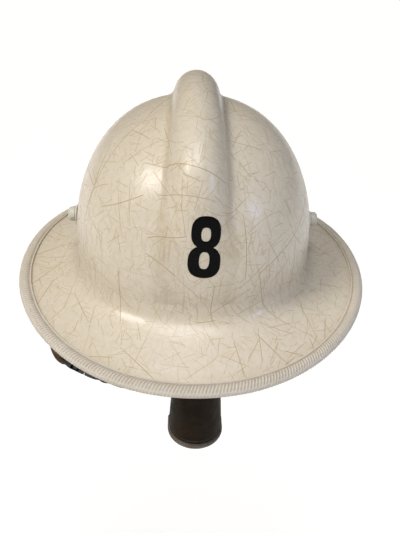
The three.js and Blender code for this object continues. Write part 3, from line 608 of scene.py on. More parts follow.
def bead_foam():
    """Pressed foam: pale beads a few millimetres across, with dirt in their joints."""
    f = Finish("bead_foam", Subsurface_Weight=0.1, Subsurface_Scale=0.003)
    cells = {"Vector": f.jittered(300.0), "Scale": 1.0 / (3.4 * MM)}
    beads = f.node("TexVoronoi", cells, feature="DISTANCE_TO_EDGE")
    tone = f.node("TexVoronoi", cells).outputs["Color"]
    shade = f.range(f.vector("DOT_PRODUCT", tone, (0.33, 0.33, 0.33)), 0.1, 0.9)
    joint = f.range(beads.outputs["Distance"], 0.0, 0.09, 1.0, 0.0)
    colour = f.mix(shade, (0.56, 0.53, 0.46), (0.66, 0.63, 0.56))
    colour = f.mix(f.times(joint, 0.6), colour, (0.30, 0.26, 0.20))
    colour = f.mix(f.range(f.noise(45.0, 3.0), 0.45, 0.75, 0.0, 0.5), colour, (0.42, 0.36, 0.27))
    round_bead = f.range(beads.outputs["Distance"], 0.0, 0.16)
    roughness = f.range(shade, 0.0, 1.0, 0.62, 0.78)
    return f.set(Base_Color=colour, Roughness=roughness, Normal=f.bump(round_bead, 0.35)).material


def woven_webbing():
    """Flat woven tape: ribs across it, warp threads along it, darker at its edges and in soiled patches."""
    f = Finish("woven_webbing", Roughness=0.82, Sheen_Weight=0.25, Sheen_Roughness=0.5)
    run, rise = f.attribute("run"), f.attribute("rise")
    column = f.times(rise, math.pi / 1.1)
    lean = f.times(f.math("ABSOLUTE", f.math("PINGPONG", rise, 5.0)), 0.9)
    row = f.times(f.plus(run, lean), math.pi / 0.9)
    thread = f.times(f.math("ABSOLUTE", f.math("SINE", column)), f.math("ABSOLUTE", f.math("SINE", row)))
    fibre = f.noise(0.5, 2.0, 0.6)
    height = f.plus(f.times(thread, 0.75), f.times(fibre, 0.25))
    clean = f.mix(f.noise(15.0, 3.0), (0.235, 0.215, 0.17), (0.30, 0.275, 0.215))
    colour = f.mix(thread, (0.10, 0.09, 0.07), clean)
    colour = f.mix(f.range(f.attribute("edge"), 0.8, 0.92, 0.0, 0.45), colour, (0.10, 0.09, 0.075))
    colour = f.mix(f.range(f.noise(30.0, 4.0, 0.6), 0.48, 0.75, 0.0, 0.7), colour, (0.12, 0.095, 0.065))
    return f.set(Base_Color=colour, Normal=f.bump(height, 0.3)).material


def leather(name, dark, pale, worn, gloss=(0.42, 0.62), shine=0.28):
    """Leather with a pebbled grain, creases, and worn and burnished places."""
    f = Finish(name, Specular_IOR_Level=shine)
    tone = f.noise(26.0, 4.0, 0.6)
    colour = f.mix(f.range(tone, 0.3, 0.7), dark, pale)
    cells = {"Vector": f.jittered(500.0), "Scale": 1.0 / MM}
    grain = f.node("TexVoronoi", cells, feature="DISTANCE_TO_EDGE")
    pore = f.range(grain.outputs["Distance"], 0.0, 0.14)
    bend = f.math("SUBTRACT", f.noise(11.0, 4.0, 0.65), 0.5)
    crease = f.range(f.math("ABSOLUTE", bend), 0.0, 0.025, 1.0, 0.0)
    colour = f.mix(f.times(crease, 0.35), colour, shaded(dark, 0.45))
    rub = f.range(f.noise(8.0, 4.0, 0.65), 0.5, 0.72)
    colour = f.mix(f.times(rub, 0.6), colour, worn)
    colour = f.mix(f.times(f.math("SUBTRACT", 1.0, pore), 0.2), colour, shaded(dark, 0.5))
    colour = f.mix(f.range(f.attribute("edge"), 0.9, 0.97, 0.0, 0.6), colour, shaded(dark, 0.4))
    height = f.math("SUBTRACT", f.plus(pore, f.times(f.noise(0.7, 3.0), 0.5)), f.times(crease, 0.8))
    roughness = f.plus(f.range(f.noise(6.0, 3.0), 0.3, 0.7, *gloss), f.times(rub, 0.08))
    return f.set(Base_Color=colour, Roughness=roughness, Normal=f.bump(height, 0.05)).material


def waxed_thread(name, colour):
    f = Finish(name, Roughness=0.6, Sheen_Weight=0.2)
    tint = f.mix(f.noise(3.0, 3.0), colour, shaded(colour, 0.6))
    return f.set(Base_Color=tint, Normal=f.bump(f.noise(0.25, 2.0, stretch=(1.0, 1.0, 1.0)), 0.05)).material


STEEL = steel_finish()
NYLON = moulded_plastic("dark_nylon", (0.016, 0.017, 0.019), (0.026, 0.027, 0.03), 0.42, 0.05)
BLACK_PLASTIC = moulded_plastic("black_plastic", (0.009, 0.009, 0.010), (0.016, 0.016, 0.018), 0.32, 0.03)
FOAM = bead_foam()
WEBBING = woven_webbing()
TAN_LEATHER = leather("tan_leather", (0.150, 0.090, 0.046), (0.225, 0.145, 0.080), (0.30, 0.21, 0.13))
DARK_LEATHER = leather(
    "dark_leather", (0.0125, 0.0070, 0.0022), (0.022, 0.0125, 0.0042), (0.038, 0.024, 0.011),
    (0.5, 0.65), 0.08
)
PALE_LEATHER = leather(
    "pale_leather", (0.135, 0.108, 0.083), (0.19, 0.157, 0.123), (0.25, 0.215, 0.18), (0.5, 0.68)
)
PALE_THREAD = waxed_thread("pale_thread", (0.42, 0.36, 0.26))
DARK_THREAD = waxed_thread("dark_thread", (0.07, 0.055, 0.04))


# ---------------------------------------------------------------- outer shell
def evenly_round(oval, count):
    """Azimuths at even distances along an oval, and the oval's length."""
    azimuth = np.linspace(0.0, 2.0 * np.pi, 7201)
    radius = oval_radius(azimuth, *oval)
    points = np.stack([radius * np.cos(azimuth), radius * np.sin(azimuth)], -1)
    travelled = np.concatenate([[0.0], np.cumsum(np.linalg.norm(np.diff(points, axis=0), axis=1))])
    steps = np.arange(count) / count * travelled[-1]
    return np.interp(steps, travelled, azimuth), travelled[-1]


def float_attribute(obj, name, values):
    layer = obj.data.attributes.new(name, "FLOAT", "POINT")
    layer.data.foreach_set("value", np.asarray(values, np.float32).ravel())


def outer_shell():
    """Crown, comb and brim as one closed skin: painted outside, bare glass fibre inside."""
    columns, crown_rows, brim_rows = 432, 104, 40
    turn = np.arange(columns) / columns * 2.0 * np.pi
    azimuth = (turn + 0.18 * np.sin(2.0 * turn))[None, :]
    polar = (np.linspace(0.0, 1.0, crown_rows) * np.pi / 2.0)[:, None]
    share = np.linspace(0.0, 1.0, brim_rows + 1)[1:, None]
    crown, comb = crown_points(direction_at(azimuth, polar))
    crease = 4.0 * comb * (1.0 - comb) * np.ones_like(comb)
    outside = [crown, brim_points(azimuth, share)]
    polar_in, share_in = polar[::3], share[::3]
    inner_crown = crown_points(direction_at(azimuth, polar_in), SHELL_THICKNESS)[0]
    inside = [brim_points(azimuth, share_in[::-1], SHELL_THICKNESS), inner_crown[::-1]]
    rows = np.concatenate(outside + inside)
    faces = grid_faces(len(rows), columns, wrap_columns=True)
    root = np.exp(-(((share - 0.22) / 0.16) ** 2)) * np.ones((1, columns))
    edge = smoothstep(share, 0.86, 0.96) * np.ones((1, columns))
    # Mask of dirt and painted shade: highest in the comb's creases, at the brim's root and near the brim's
    # edge.
    hollow_grime_and_shade = np.zeros(rows.shape[:2])
    hollow_grime_and_shade[:crown_rows] = crease * smoothstep(polar, 0.02, 0.25)
    hollow_grime_and_shade[crown_rows : crown_rows + brim_rows] = root * 0.55 + edge
    obj = mesh_object("helmet_shell", rows, faces)
    float_attribute(obj, "hollow_grime_and_shade", hollow_grime_and_shade)
    obj.data.materials.append(shell_paint())
    obj.data.materials.append(glass_fibre())
    painted = (crown_rows + brim_rows) * columns
    obj.data.polygons.foreach_set("material_index", [int(i >= painted) for i in range(len(faces))])
    return finished(obj, None, "helmet", ["outer_shell"], 180.0)


# ---------------------------------------------------------------- edge binding
# The binding's section: (outwards past the brim's edge, above the sheet's middle).
TRIM_CORNERS = [
    (1.2, 1.7), (-6.4, 1.7), (-7.2, 2.0), (-7.2, 2.7), (-6.4, 3.1), (-5.6, 2.6), (-5.0, 2.9),
    (-3.9, 3.9), (-2.2, 4.3), (-0.6, 4.1), (0.9, 3.3), (2.3, 2.2), (3.1, 0.7), (3.2, -0.8),
    (2.5, -2.2), (0.9, -3.1), (-1.6, -3.6), (-4.2, -3.4), (-6.3, -2.8), (-6.5, -1.9), (-5.6, -1.7),
    (1.2, -1.7),
]
RIB_PITCH = 2.5


def rounded_loop(corners, steps):
    """A closed Catmull-Rom curve through corners, with a number of steps between each two."""
    corners = np.asarray(corners, float)
    before, after, beyond = (np.roll(corners, shift, axis=0) for shift in (1, -1, -2))
    shares = (np.arange(steps) / steps)[None, :, None]
    a, b, c, d = (p[:, None, :] for p in (before, corners, after, beyond))
    curve = 0.5 * (
        2.0 * b + (c - a) * shares + (2.0 * a - 5.0 * b + 4.0 * c - d) * shares**2
        + (3.0 * (b - c) + d - a) * shares**3
    )
    return curve.reshape(-1, corners.shape[1])


def edge_trim():
    """The binding: its section carried round the brim's edge, swollen into slanting ribs."""
    section = rounded_loop(TRIM_CORNERS, 2)
    past, above = section[:, 0], section[:, 1]
    tangent = np.roll(section, -1, axis=0) - np.roll(section, 1, axis=0)
    outward = unit(np.stack([tangent[:, 1], -tangent[:, 0]], -1))
    rim = (BRIM_HALF_WIDTH, BRIM_FRONT, BRIM_REAR, BRIM_POWER)
    ribs = round(evenly_round(rim, 8)[1] / RIB_PITCH)
    azimuth = evenly_round(rim, ribs * 6)[0][None, :]
    middle = SHELL_THICKNESS / 2.0
    edge_radius, edge_height = brim_section(azimuth, 1.0, middle)
    near_radius, near_height = brim_section(azimuth, 1.0 - 1.0 / 6.0, middle)
    slope = unit(np.stack([edge_radius - near_radius, edge_height - near_height], -1))
    phase = np.arange(ribs * 6)[None, :] / 6.0 + 0.16 * past[:, None]
    lobe = np.abs(np.sin(np.pi * phase)) ** 0.7
    top = smoothstep(above, 2.3, 3.2) * smoothstep(past, -5.9, -5.2) * (1.0 - smoothstep(past, 0.4, 1.6))
    side = smoothstep(past, 1.4, 2.6) * smoothstep(above, -2.2, -0.4)
    ribbed = (top + 0.45 * side)[:, None]
    swell = ribbed * (lobe - 0.6) * 0.95
    past_now = past[:, None] + swell * outward[:, :1]
    above_now = above[:, None] + swell * outward[:, 1:]
    radius = edge_radius + past_now * slope[..., 0] - above_now * slope[..., 1]
    height = edge_height + past_now * slope[..., 1] + above_now * slope[..., 0]
    points = np.stack([radius * np.cos(azimuth), radius * np.sin(azimuth), height], -1)
    rows, columns = points.shape[:2]
    faces = grid_faces(rows, columns, wrap_rows=True, wrap_columns=True)
    obj = mesh_object("brim_binding", points, faces)
    # Groove mask: rib hollows and the ledge crease, darkened later by dirt and painted shade.
    crease = np.exp(-(((past + 5.6) / 0.5) ** 2)) * (above > 0)
    float_attribute(obj, "groove", ribbed * (1.0 - lobe) + crease[:, None] * 0.8)
    # Underside mask: where the binding's lower lip is painted dark as shade.
    float_attribute(obj, "under", (1.0 - smoothstep(above, -3.0, -1.9))[:, None] * np.ones((1, columns)))
    return finished(obj, edge_binding(), "helmet", ["brim_edge_trim"], 180.0)


# ---------------------------------------------------------------- numeral
# Two ovals, each (centre height, half width, half height), with their counters.
EIGHT_OVALS = ((10.9, 10.6, 11.6), (-10.6, 11.9, 11.9))
EIGHT_COUNTERS = ((9.6, 3.4, 4.9), (-9.4, 3.7, 6.3))
EIGHT_PLACE = np.array([6.3, -114.5, 78.0])
EIGHT_LEAN = -0.035


def eight_outline(steps):
    """The numeral's outer edge, round two ovals that run into each other."""
    top = EIGHT_OVALS[0][0] + EIGHT_OVALS[0][2]
    foot = EIGHT_OVALS[1][0] - EIGHT_OVALS[1][2]
    height = (top + foot) / 2.0 - (top - foot) / 2.0 * np.cos(np.linspace(0.0, np.pi, steps))
    widths = [
        half_width * np.clip(1.0 - np.abs((height - centre) / half_height) ** 2.5, 0.0, 1.0) ** 0.4
        for centre, half_width, half_height in EIGHT_OVALS
    ]
    width = np.maximum(*widths)
    right = np.stack([width, height], -1)
    left = np.stack([-width, height], -1)[-2:0:-1]
    return np.concatenate([right, left])


def oval_outline(centre, half_width, half_height, steps):
    """A counter: an oval with flattened sides."""
    angle = np.linspace(0.0, 2.0 * np.pi, steps, endpoint=False)
    across = np.sign(np.cos(angle)) * np.abs(np.cos(angle)) ** 0.75 * half_width
    upward = np.sign(np.sin(angle)) * np.abs(np.sin(angle)) ** 0.85 * half_height
    return np.stack([across, centre + upward], -1)


def filled_outlines(outlines, longest):
    """A flat sheet between outlines, with no edge much longer than a length in millimetres."""
    sheet = bmesh.new()
    for outline in outlines:
        corners = [sheet.verts.new((x, y, 0.0)) for x, y in outline]
        for start, end in zip(corners, corners[1:] + corners[:1]):
            sheet.edges.new((start, end))
    bmesh.ops.triangle_fill(sheet, use_beauty=True, edges=sheet.edges[:])
    for _ in range(5):
        edges = [edge for edge in sheet.edges if edge.calc_length() > longest]
        bmesh.ops.subdivide_edges(sheet, edges=edges, cuts=1)
        bmesh.ops.triangulate(sheet, faces=sheet.faces[:])
        bmesh.ops.beautify_fill(sheet, faces=sheet.faces[:], edges=sheet.edges[:])
    return sheet


def sheet_object(name, sheet):
    mesh = bpy.data.meshes.new(name)
    sheet.to_mesh(mesh)
    sheet.free()
    return linked(name, mesh)


def numeral():
    """The figure eight, cut from thin vinyl and laid on the crown."""
    outlines = [eight_outline(90)] + [oval_outline(*counter, 48) for counter in EIGHT_COUNTERS]
    sheet = filled_outlines(outlines, 1.8)
    outward = Vector((0.0, -0.88, 0.47)).normalized()
    upward = Matrix.Rotation(math.pi / 2.0 + EIGHT_LEAN, 3, outward) @ Vector((1.0, 0.0, 0.0))
    rightward = upward.cross(outward)
    flat = np.array([vert.co[:2] for vert in sheet.verts])
    start = EIGHT_PLACE + flat[:, :1] * np.array(rightward) + flat[:, 1:] * np.array(upward)
    rim = np.array([vert.is_boundary for vert in sheet.verts])
    seats = seated(start, np.array(outward), np.where(rim, 0.12, 0.3))
    for vert, seat in zip(sheet.verts, seats):
        vert.co = Vector(seat * MM)
    obj = sheet_object("numeral_eight", sheet)
    finished(obj, numeral_vinyl(), "helmet", ["number_eight"], 60.0)
    thick = obj.modifiers.new("thickness", "SOLIDIFY")
    thick.thickness = 0.28 * MM
    thick.offset = -1.0
    return obj


# ---------------------------------------------------------------- turned pieces along X
def turned(name, profile, centre, side, material, slot, replaces, segments=64, body="helmet"):
    """A solid turned about X. The profile holds (distance from the axis, place along X), outside first."""
    angle = np.linspace(0.0, 2.0 * np.pi, segments, endpoint=False)[None, :]
    profile = np.asarray(profile, float)
    radius, along = profile[:, :1], profile[:, 1:]
    points = np.stack(
        [side * along + 0.0 * angle, centre[1] + radius * np.cos(angle),
        centre[2] + radius * np.sin(angle)], -1
    )
    faces = grid_faces(len(profile), segments, wrap_columns=True)
    return piece(name, points, faces, material, body, replaces)


def rounded_profile(corners, radius, steps=4):
    """A profile whose inner corners are rounded; its two ends stay."""
    corners = [np.array(corner, float) for corner in corners]
    rounded = [corners[0]]
    for before, corner, after in zip(corners, corners[1:], corners[2:]):
        back, ahead = before - corner, after - corner
        reach = min(radius, np.linalg.norm(back) * 0.45, np.linalg.norm(ahead) * 0.45)
        start = corner + back / np.linalg.norm(back) * reach
        end = corner + ahead / np.linalg.norm(ahead) * reach
        for step in range(steps + 1):
            share = step / steps
            rounded.append((1 - share) ** 2 * start + 2 * share * (1 - share) * corner + share**2 * end)
    return rounded + [corners[-1]]


def side_reach(node):
    """The nearest and furthest distance of a side fitting from the middle of the helmet."""
    low, high = node_box(node)
    return sorted((abs(low[0]), abs(high[0])))


def side_buttons():
    """The round plastic buttons on the crown's sides, each on its flange."""
    plastic = button_plastic()
    bore = 2.8
    for side, word in SIDES:
        low, high = node_box(f"side_button_{word}")
        centre = (low + high) / 2.0
        inner, outer = side_reach(f"side_button_{word}")
        cap = [(0, inner + 3), (bore, inner + 3), (bore, inner), (6.3, inner)]
        cap = rounded_profile(cap + [(6.3, outer - 1.5), (4.9, outer), (0, outer)], 0.6)
        turned(f"button_cap_{word}", cap, centre, side, plastic, "button_plastic", [f"side_button_{word}"])
        inner, outer = side_reach(f"button_flange_{word}")
        flange = [(bore, outer - 0.2), (bore, inner), (7.6, inner), (7.6, inner + 0.9)]
        flange = rounded_profile(flange + [(7.0, outer), (bore, outer), (bore, outer - 0.2)], 0.4)
        turned(
            f"button_base_{word}", flange, centre, side, plastic, "button_plastic",
            [f"button_flange_{word}"]
        )


# ---------------------------------------------------------------- strips, bars, plates and threads
def strip_section(width, thickness, radius, across_steps=6, corner_steps=3):
    """A closed rounded rectangle: (place across the width, place out of the face)."""
    half, out = width / 2.0 - radius, thickness / 2.0 - radius
    loop = []
    for quarter, (x, y) in enumerate([(half, out), (-half, out), (-half, -out), (half, -out)]):
        angle = math.pi / 2.0 * (quarter + np.arange(corner_steps + 1) / corner_steps)
        loop += list(zip(x + radius * np.cos(angle), y + radius * np.sin(angle)))
        if quarter in (0, 2):
            face = (out + radius) * (1 if quarter == 0 else -1)
            loop += [(x - 2.0 * x * step / across_steps, face) for step in range(1, across_steps)]
    return np.array(loop)


def arc_lengths(points):
    steps = np.linalg.norm(np.diff(points, axis=0), axis=1)
    return np.concatenate([[0.0], np.cumsum(steps)])


def sampled(values, travelled, at):
    """Values given at distances along a line, taken at other distances."""
    return np.stack([np.interp(at, travelled, values[:, axis]) for axis in range(values.shape[1])], -1)


def resampled(points, spacing):
    """Points at even distances along a line of points, about a spacing apart."""
    points = np.asarray(points, float)
    travelled = arc_lengths(points)
    count = max(2, round(travelled[-1] / spacing) + 1)
    at = np.linspace(0.0, travelled[-1], count)
    return sampled(points, travelled, at)


def bezier(start, out, back, end, count=60):
    share = np.linspace(0.0, 1.0, count)[:, None]
    rest = 1.0 - share
    return rest**3 * start + 3 * rest**2 * share * out + 3 * rest * share**2 * back + share**3 * end


class Strip:
    """A flat strip's route: its points, and the direction of its width at each of them."""

    def __init__(self, points, across, closed=False, square=True, sag=None):
        self.points = np.asarray(points, float)
        self.closed = closed
        if closed:
            self.along = unit(np.roll(self.points, -1, axis=0) - np.roll(self.points, 1, axis=0))
        else:
            self.along = unit(np.gradient(self.points, axis=0))
        across = np.broadcast_to(np.asarray(across, float), self.points.shape)
        if square:
            across = across - (across * self.along).sum(-1, keepdims=True) * self.along
        self.across = unit(across)
        self.outward = unit(np.cross(self.along, self.across))
        self.sag = np.zeros_like(self.points) if sag is None else sag
        self.run = arc_lengths(self.points)

    def at(self, run, rise, out):
        """Points at distances along the strip, across it from its middle line, and out of its face."""
        rise, out = np.asarray(rise, float)[..., None], np.asarray(out, float)[..., None]
        parts = (self.points, self.across, self.outward, self.sag)
        point, across, outward, sag = (sampled(values, self.run, run) for values in parts)
        return point + across * rise + outward * out + sag * rise**2

    def line(self, start, end, rise, out, spacing=1.5):
        """A line along the strip for stitches, from one distance to another."""
        run = np.linspace(start, end, max(3, round(abs(end - start) / spacing)))
        return self.at(run, np.full(len(run), float(rise)), np.full(len(run), float(out)))

    def edge_lines(self, rise, face, lead, trail):
        """Lines for stitches along both edges on both faces, short of the two ends."""
        end = self.run[-1] - trail
        return [self.line(lead, end, edge, out) for edge in (-rise, rise) for out in (-face, face)]

    def cross_line(self, runs, rises, out, count=12):
        """A straight line from one distance and place across the strip to another."""
        return self.at(np.linspace(*runs, count), np.linspace(*rises, count), np.full(count, float(out)))

    def solid(
        self, name, width, thickness, material, body, replaces=(), radius=0.6, tip=0.0, across_steps=6
    ):
        """The strip as a closed solid with rounded edges; its ends are rounded over a tip length."""
        section = strip_section(width, thickness, min(radius, thickness * 0.48), across_steps)
        rise, out = section[None, :, :1], section[None, :, 1:]
        width_share = np.ones(len(self.points))
        if tip:
            near_end = np.minimum(self.run, self.run[-1] - self.run)
            width_share = np.sqrt(np.clip(1.0 - (1.0 - np.clip(near_end / tip, 0.0, 1.0)) ** 2, 0.02, 1.0))
            width_share = 0.45 + 0.55 * width_share
        rise = rise * width_share[:, None, None]
        grid = self.points[:, None] + self.across[:, None] * rise + self.outward[:, None] * out
        grid = grid + self.sag[:, None] * rise**2
        if self.closed:
            faces = grid_faces(len(self.points), len(section), wrap_rows=True, wrap_columns=True)
        else:
            faces = tube_faces(len(self.points), len(section))
        obj = piece(name, grid, faces, material, body, replaces, 50.0)
        if len(obj.data.vertices) != grid.size // 3:
            raise RuntimeError(f"{name} lost points")
        float_attribute(obj, "run", np.repeat(self.run, len(section)))
        float_attribute(obj, "rise", (rise + 0.0 * out).ravel())
        float_attribute(obj, "edge", (np.abs(rise) / (width / 2.0) + 0.0 * out).ravel())
        return obj


def tube(name, points, radius, material, body, replaces=(), sides=16, closed=False):
    """A round bar along points, with rounded ends unless it is closed."""
    points = np.asarray(points, float)
    if closed:
        along = unit(np.roll(points, -1, axis=0) - np.roll(points, 1, axis=0))
    else:
        along = unit(np.gradient(points, axis=0))
    radii = np.full(len(points), float(radius))
    if not closed:
        swell = np.linspace(0.12, 1.0, 5) * np.pi / 2.0
        head = points[0] - along[0] * (radius * np.cos(swell))[:, None]
        tail = points[-1] + along[-1] * (radius * np.cos(swell[::-1]))[:, None]
        points = np.concatenate([head, points[1:-1], tail])
        along = np.concatenate([np.tile(along[:1], (5, 1)), along[1:-1], np.tile(along[-1:], (5, 1))])
        radii = np.concatenate([radius * np.sin(swell), radii[1:-1], radius * np.sin(swell[::-1])])
    side = np.cross(along[0], (0.3, 0.2, 1.0) if abs(along[0][2]) < 0.8 else (1.0, 0.2, 0.3))
    angle = np.linspace(0.0, 2.0 * np.pi, sides, endpoint=False)[:, None]
    rings = []
    for place, forward, size in zip(points, along, radii):
        side = unit(side - forward * side.dot(forward))
        rings.append(place + size * (np.cos(angle) * side + np.sin(angle) * np.cross(forward, side)))
    grid = np.concatenate(rings)
    if closed:
        faces = grid_faces(len(points), sides, wrap_rows=True, wrap_columns=True)
    else:
        faces = tube_faces(len(points), sides)
    return piece(name, grid, faces, material, body, replaces, 180.0)


def stitching(name, lines, material, body, pitch=3.0, length=2.3, radius=0.32):
    """Short threads laid end to end along lines, half sunk in what they hold."""
    stations = ((-0.5, 0.25), (-0.36, 0.85), (0.0, 1.0), (0.36, 0.85), (0.5, 0.25))
    sides = 6
    angle = np.linspace(0.0, 2.0 * np.pi, sides, endpoint=False)[:, None]
    points, faces = [], []
    for line in lines:
        line = np.asarray(line, float)
        travelled = arc_lengths(line)
        count = max(1, int(travelled[-1] // pitch))
        spare = (travelled[-1] - count * pitch) / 2.0
        for stitch in range(count):
            middle = spare + (stitch + 0.5) * pitch
            reach = [middle - length / 2.0, middle + length / 2.0]
            start, end = sampled(line, travelled, reach)
            forward = unit(end - start)
            other = (0.31, 0.24, 0.92) if abs(forward[2]) < 0.8 else (0.92, 0.24, 0.31)
            side = unit(np.cross(forward, other))
            other = np.cross(forward, side)
            base = len(points) * sides
            for at, size in stations:
                centre = (start + end) / 2.0 + forward * at * length
                points.append(centre + radius * size * (np.cos(angle) * side + np.sin(angle) * other))
            ring_faces = tube_faces(len(stations), sides)
            faces += [tuple(base + corner for corner in face) for face in ring_faces]
    return piece(name, np.concatenate(points), faces, material, body, (), 180.0)


def plate(
    name, outlines, low, high, origin, axes, material, body, replaces=(), edge=0.3, longest=40.0
):
    """A flat plate between outlines (its edge, then its holes), raised along the third axis."""
    sheet = filled_outlines(outlines, longest)
    bmesh.ops.dissolve_limit(sheet, angle_limit=0.01, verts=sheet.verts[:], edges=sheet.edges[:])
    raised_faces = bmesh.ops.extrude_face_region(sheet, geom=sheet.faces[:])["geom"]
    upper = {item for item in raised_faces if isinstance(item, bmesh.types.BMVert)}
    origin, axes = np.asarray(origin, float), np.asarray(axes, float)
    for vert in sheet.verts:
        level = high if vert in upper else low
        place = origin + axes[0] * vert.co.x + axes[1] * vert.co.y + axes[2] * level
        vert.co = Vector(place * MM)
    obj = sheet_object(name, sheet)
    finished(obj, material, body, replaces)
    return bevelled(obj, edge, 3, 40.0)


def rounded_rectangle(half_width, low, high, radius, steps=8):
    loop = []
    corners = [(half_width, high), (-half_width, high), (-half_width, low), (half_width, low)]
    for quarter, (x, y) in enumerate(corners):
        angle = math.pi / 2.0 * (quarter + np.arange(steps + 1) / steps)
        centre_x, centre_y = x - math.copysign(radius, x), y + (radius if y == low else -radius)
        loop += list(zip(centre_x + radius * np.cos(angle), centre_y + radius * np.sin(angle)))
    return np.array(loop)


def circle(x, y, radius, steps=32):
    angle = np.linspace(0.0, 2.0 * np.pi, steps, endpoint=False)
    return np.stack([x + radius * np.cos(angle), y + radius * np.sin(angle)], -1)


def refined(node, material, body, width):
    """A copy of a frame node with its facets joined and its edges rounded, standing for that node."""
    obj = linked(node + "_finished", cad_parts[node].data.copy())
    obj.data.materials.clear()
    edited = bmesh.new()
    edited.from_mesh(obj.data)
    bmesh.ops.remove_doubles(edited, verts=edited.verts, dist=1e-6)
    limit = math.radians(1.0)
    bmesh.ops.dissolve_limit(edited, angle_limit=limit, verts=edited.verts[:], edges=edited.edges[:])
    edited.to_mesh(obj.data)
    edited.free()
    finished(obj, material, body, [node])
    return bevelled(obj, width, 3, 25.0)


# ---------------------------------------------------------------- steel fittings at the sides
def plate_across(name, outlines, inner, outer, side, replaces, body, edge=0.28):
    """A plate square to X between two distances from the middle; outlines are in Y and Z."""
    axes = ((0.0, 1.0, 0.0), (0.0, 0.0, 1.0), (side, 0.0, 0.0))
    return plate(name, outlines, inner, outer, (0.0, 0.0, 0.0), axes, STEEL, body, replaces, edge)


def rivet(name, centre, side, inner, outer, radius, head, body, replaces=(), dome=0.9):
    """A turned rivet along X with a domed head at each end."""
    bulge = [(head * math.sin(step * 0.19), dome * math.cos(step * 0.19)) for step in range(1, 9)]
    top, foot = outer - dome, inner + dome
    profile = [(0.0, outer)] + [(reach, top + rise) for reach, rise in bulge]
    profile += [(head, top - 0.35), (radius, top - 0.4), (radius, foot + 0.4), (head, foot + 0.35)]
    profile += [(reach, foot - rise) for reach, rise in bulge[::-1]] + [(0.0, inner)]
    return turned(name, profile, centre, side, STEEL, "steel", replaces, 40, body)


def mid_height(node):
    low, high = node_box(node)
    return (low[2] + high[2]) / 2.0


def screw_thread(inner, outer):
    """The profile of a threaded stud between two places along its axis."""
    pitch, place = 0.5, outer - 0.4
    profile = [(0.0, outer), (2.2, place)]
    while place > inner + 1.0:
        profile += [(2.5, place - pitch / 2.0), (2.15, place - pitch)]
        place -= pitch
    return profile + [(2.1, inner + 0.3), (0.0, inner)]


def side_fittings():
    """The steel plates, pivots, rivets, studs and nuts at both sides."""
    rivet_height, rivet_reach = -13.5, 5.0
    for side, word in SIDES:
        node = f"strap_bracket_{word}"
        low, high = node_box(node)
        stud_height = mid_height(f"button_stud_{word}")
        pivot_height = mid_height(f"strap_pivot_{word}")
        outline = rounded_rectangle(high[1], low[2], high[2], 4.0)
        outlines = [outline, circle(0.0, stud_height, 2.8), circle(0.0, pivot_height, 2.3)]
        plate_across(f"bracket_plate_{word}", outlines, *side_reach(node), side, [node], "helmet")
        node = f"strap_hanger_{word}"
        low, high = node_box(node)
        inner, outer = side_reach(node)
        outline = rounded_rectangle(high[1], low[2], high[2], 5.0)
        holes = [circle(y, rivet_height, 1.5, 24) for y in (-rivet_reach, rivet_reach)]
        outlines = [outline, circle(0.0, pivot_height, 2.3), *holes]
        plate_across(f"hanger_plate_{word}", outlines, inner, outer, side, [node], "chin_strap")
        for y, end in ((-rivet_reach, "front"), (rivet_reach, "rear")):
            name, centre = f"hanger_rivet_{word}_{end}", (0.0, y, rivet_height)
            rivet(name, centre, side, inner - 3.4, outer + 1.0, 1.4, 2.4, "chin_strap", (), 0.7)
        node, centre = f"strap_pivot_{word}", (0.0, 0.0, pivot_height)
        rivet(f"pivot_rivet_{word}", centre, side, *side_reach(node), 2.0, 3.6, "helmet", [node], 1.0)
        node, centre = f"button_stud_{word}", (0.0, 0.0, stud_height)
        thread = screw_thread(*side_reach(node))
        turned(f"stud_screw_{word}", thread, centre, side, STEEL, "steel", [node], 32)
        nut = refined(f"stud_nut_{word}", STEEL, "helmet", 0.35)
        nut.name = f"hex_nut_{word}"


# ---------------------------------------------------------------- impact liner and suspension
RING_LOW, RING_HIGH = node_box("suspension_ring")
RING_REACH = np.array([RING_HIGH[0], -RING_LOW[1], RING_HIGH[1]])
RING_THICKNESS = 2.0


def oval_path(reach, power, count, start=0.0, end=2.0 * np.pi):
    azimuth = np.linspace(start, end, count)
    radius = oval_radius(azimuth, *reach, power)
    return np.stack([radius * np.cos(azimuth), radius * np.sin(azimuth)], -1)


def at_height(path, height):
    return np.concatenate([path, np.full((len(path), 1), float(height))], -1)


def impact_liner():
    """A domed foam cap inside the crown, with vent channels pressed into its inner face."""
    columns, rows = 240, 60
    azimuth = (np.arange(columns) / columns * 2.0 * np.pi)[None, :]
    rim = math.radians(68.0)
    outer_inset, inner_inset = SHELL_THICKNESS + 0.4, SHELL_THICKNESS + 10.4
    polar = np.linspace(0.0, 1.0, rows)[:, None] * rim
    outer = dome_points(direction_at(azimuth, polar), outer_inset)
    channel = np.exp(-(((np.abs(np.sin(azimuth * 3.0)) * 46.0 * np.sin(polar)) / 7.0) ** 4))
    channel = channel * smoothstep(polar, 0.35, 0.5)
    inner = dome_points(direction_at(azimuth, polar), inner_inset - 2.2 * channel)
    turns = np.linspace(0.0, np.pi, 12)[1:-1, None]
    middle = (outer_inset + inner_inset) / 2.0
    half = (inner_inset - outer_inset) / 2.0
    soft = np.sign(np.cos(turns)) * np.abs(np.cos(turns)) ** 0.6
    past = rim + 0.014 * np.sin(turns) ** 0.6
    edge = [dome_points(direction_at(azimuth, p), middle - half * c)[0] for p, c in zip(
        past[:, 0], soft[:, 0]
    )]
    points = np.concatenate([outer, np.array(edge), inner[::-1]])
    faces = grid_faces(len(points), columns, wrap_columns=True)
    piece("foam_liner", points, faces, FOAM, "helmet", ["impact_pad"], 180.0)


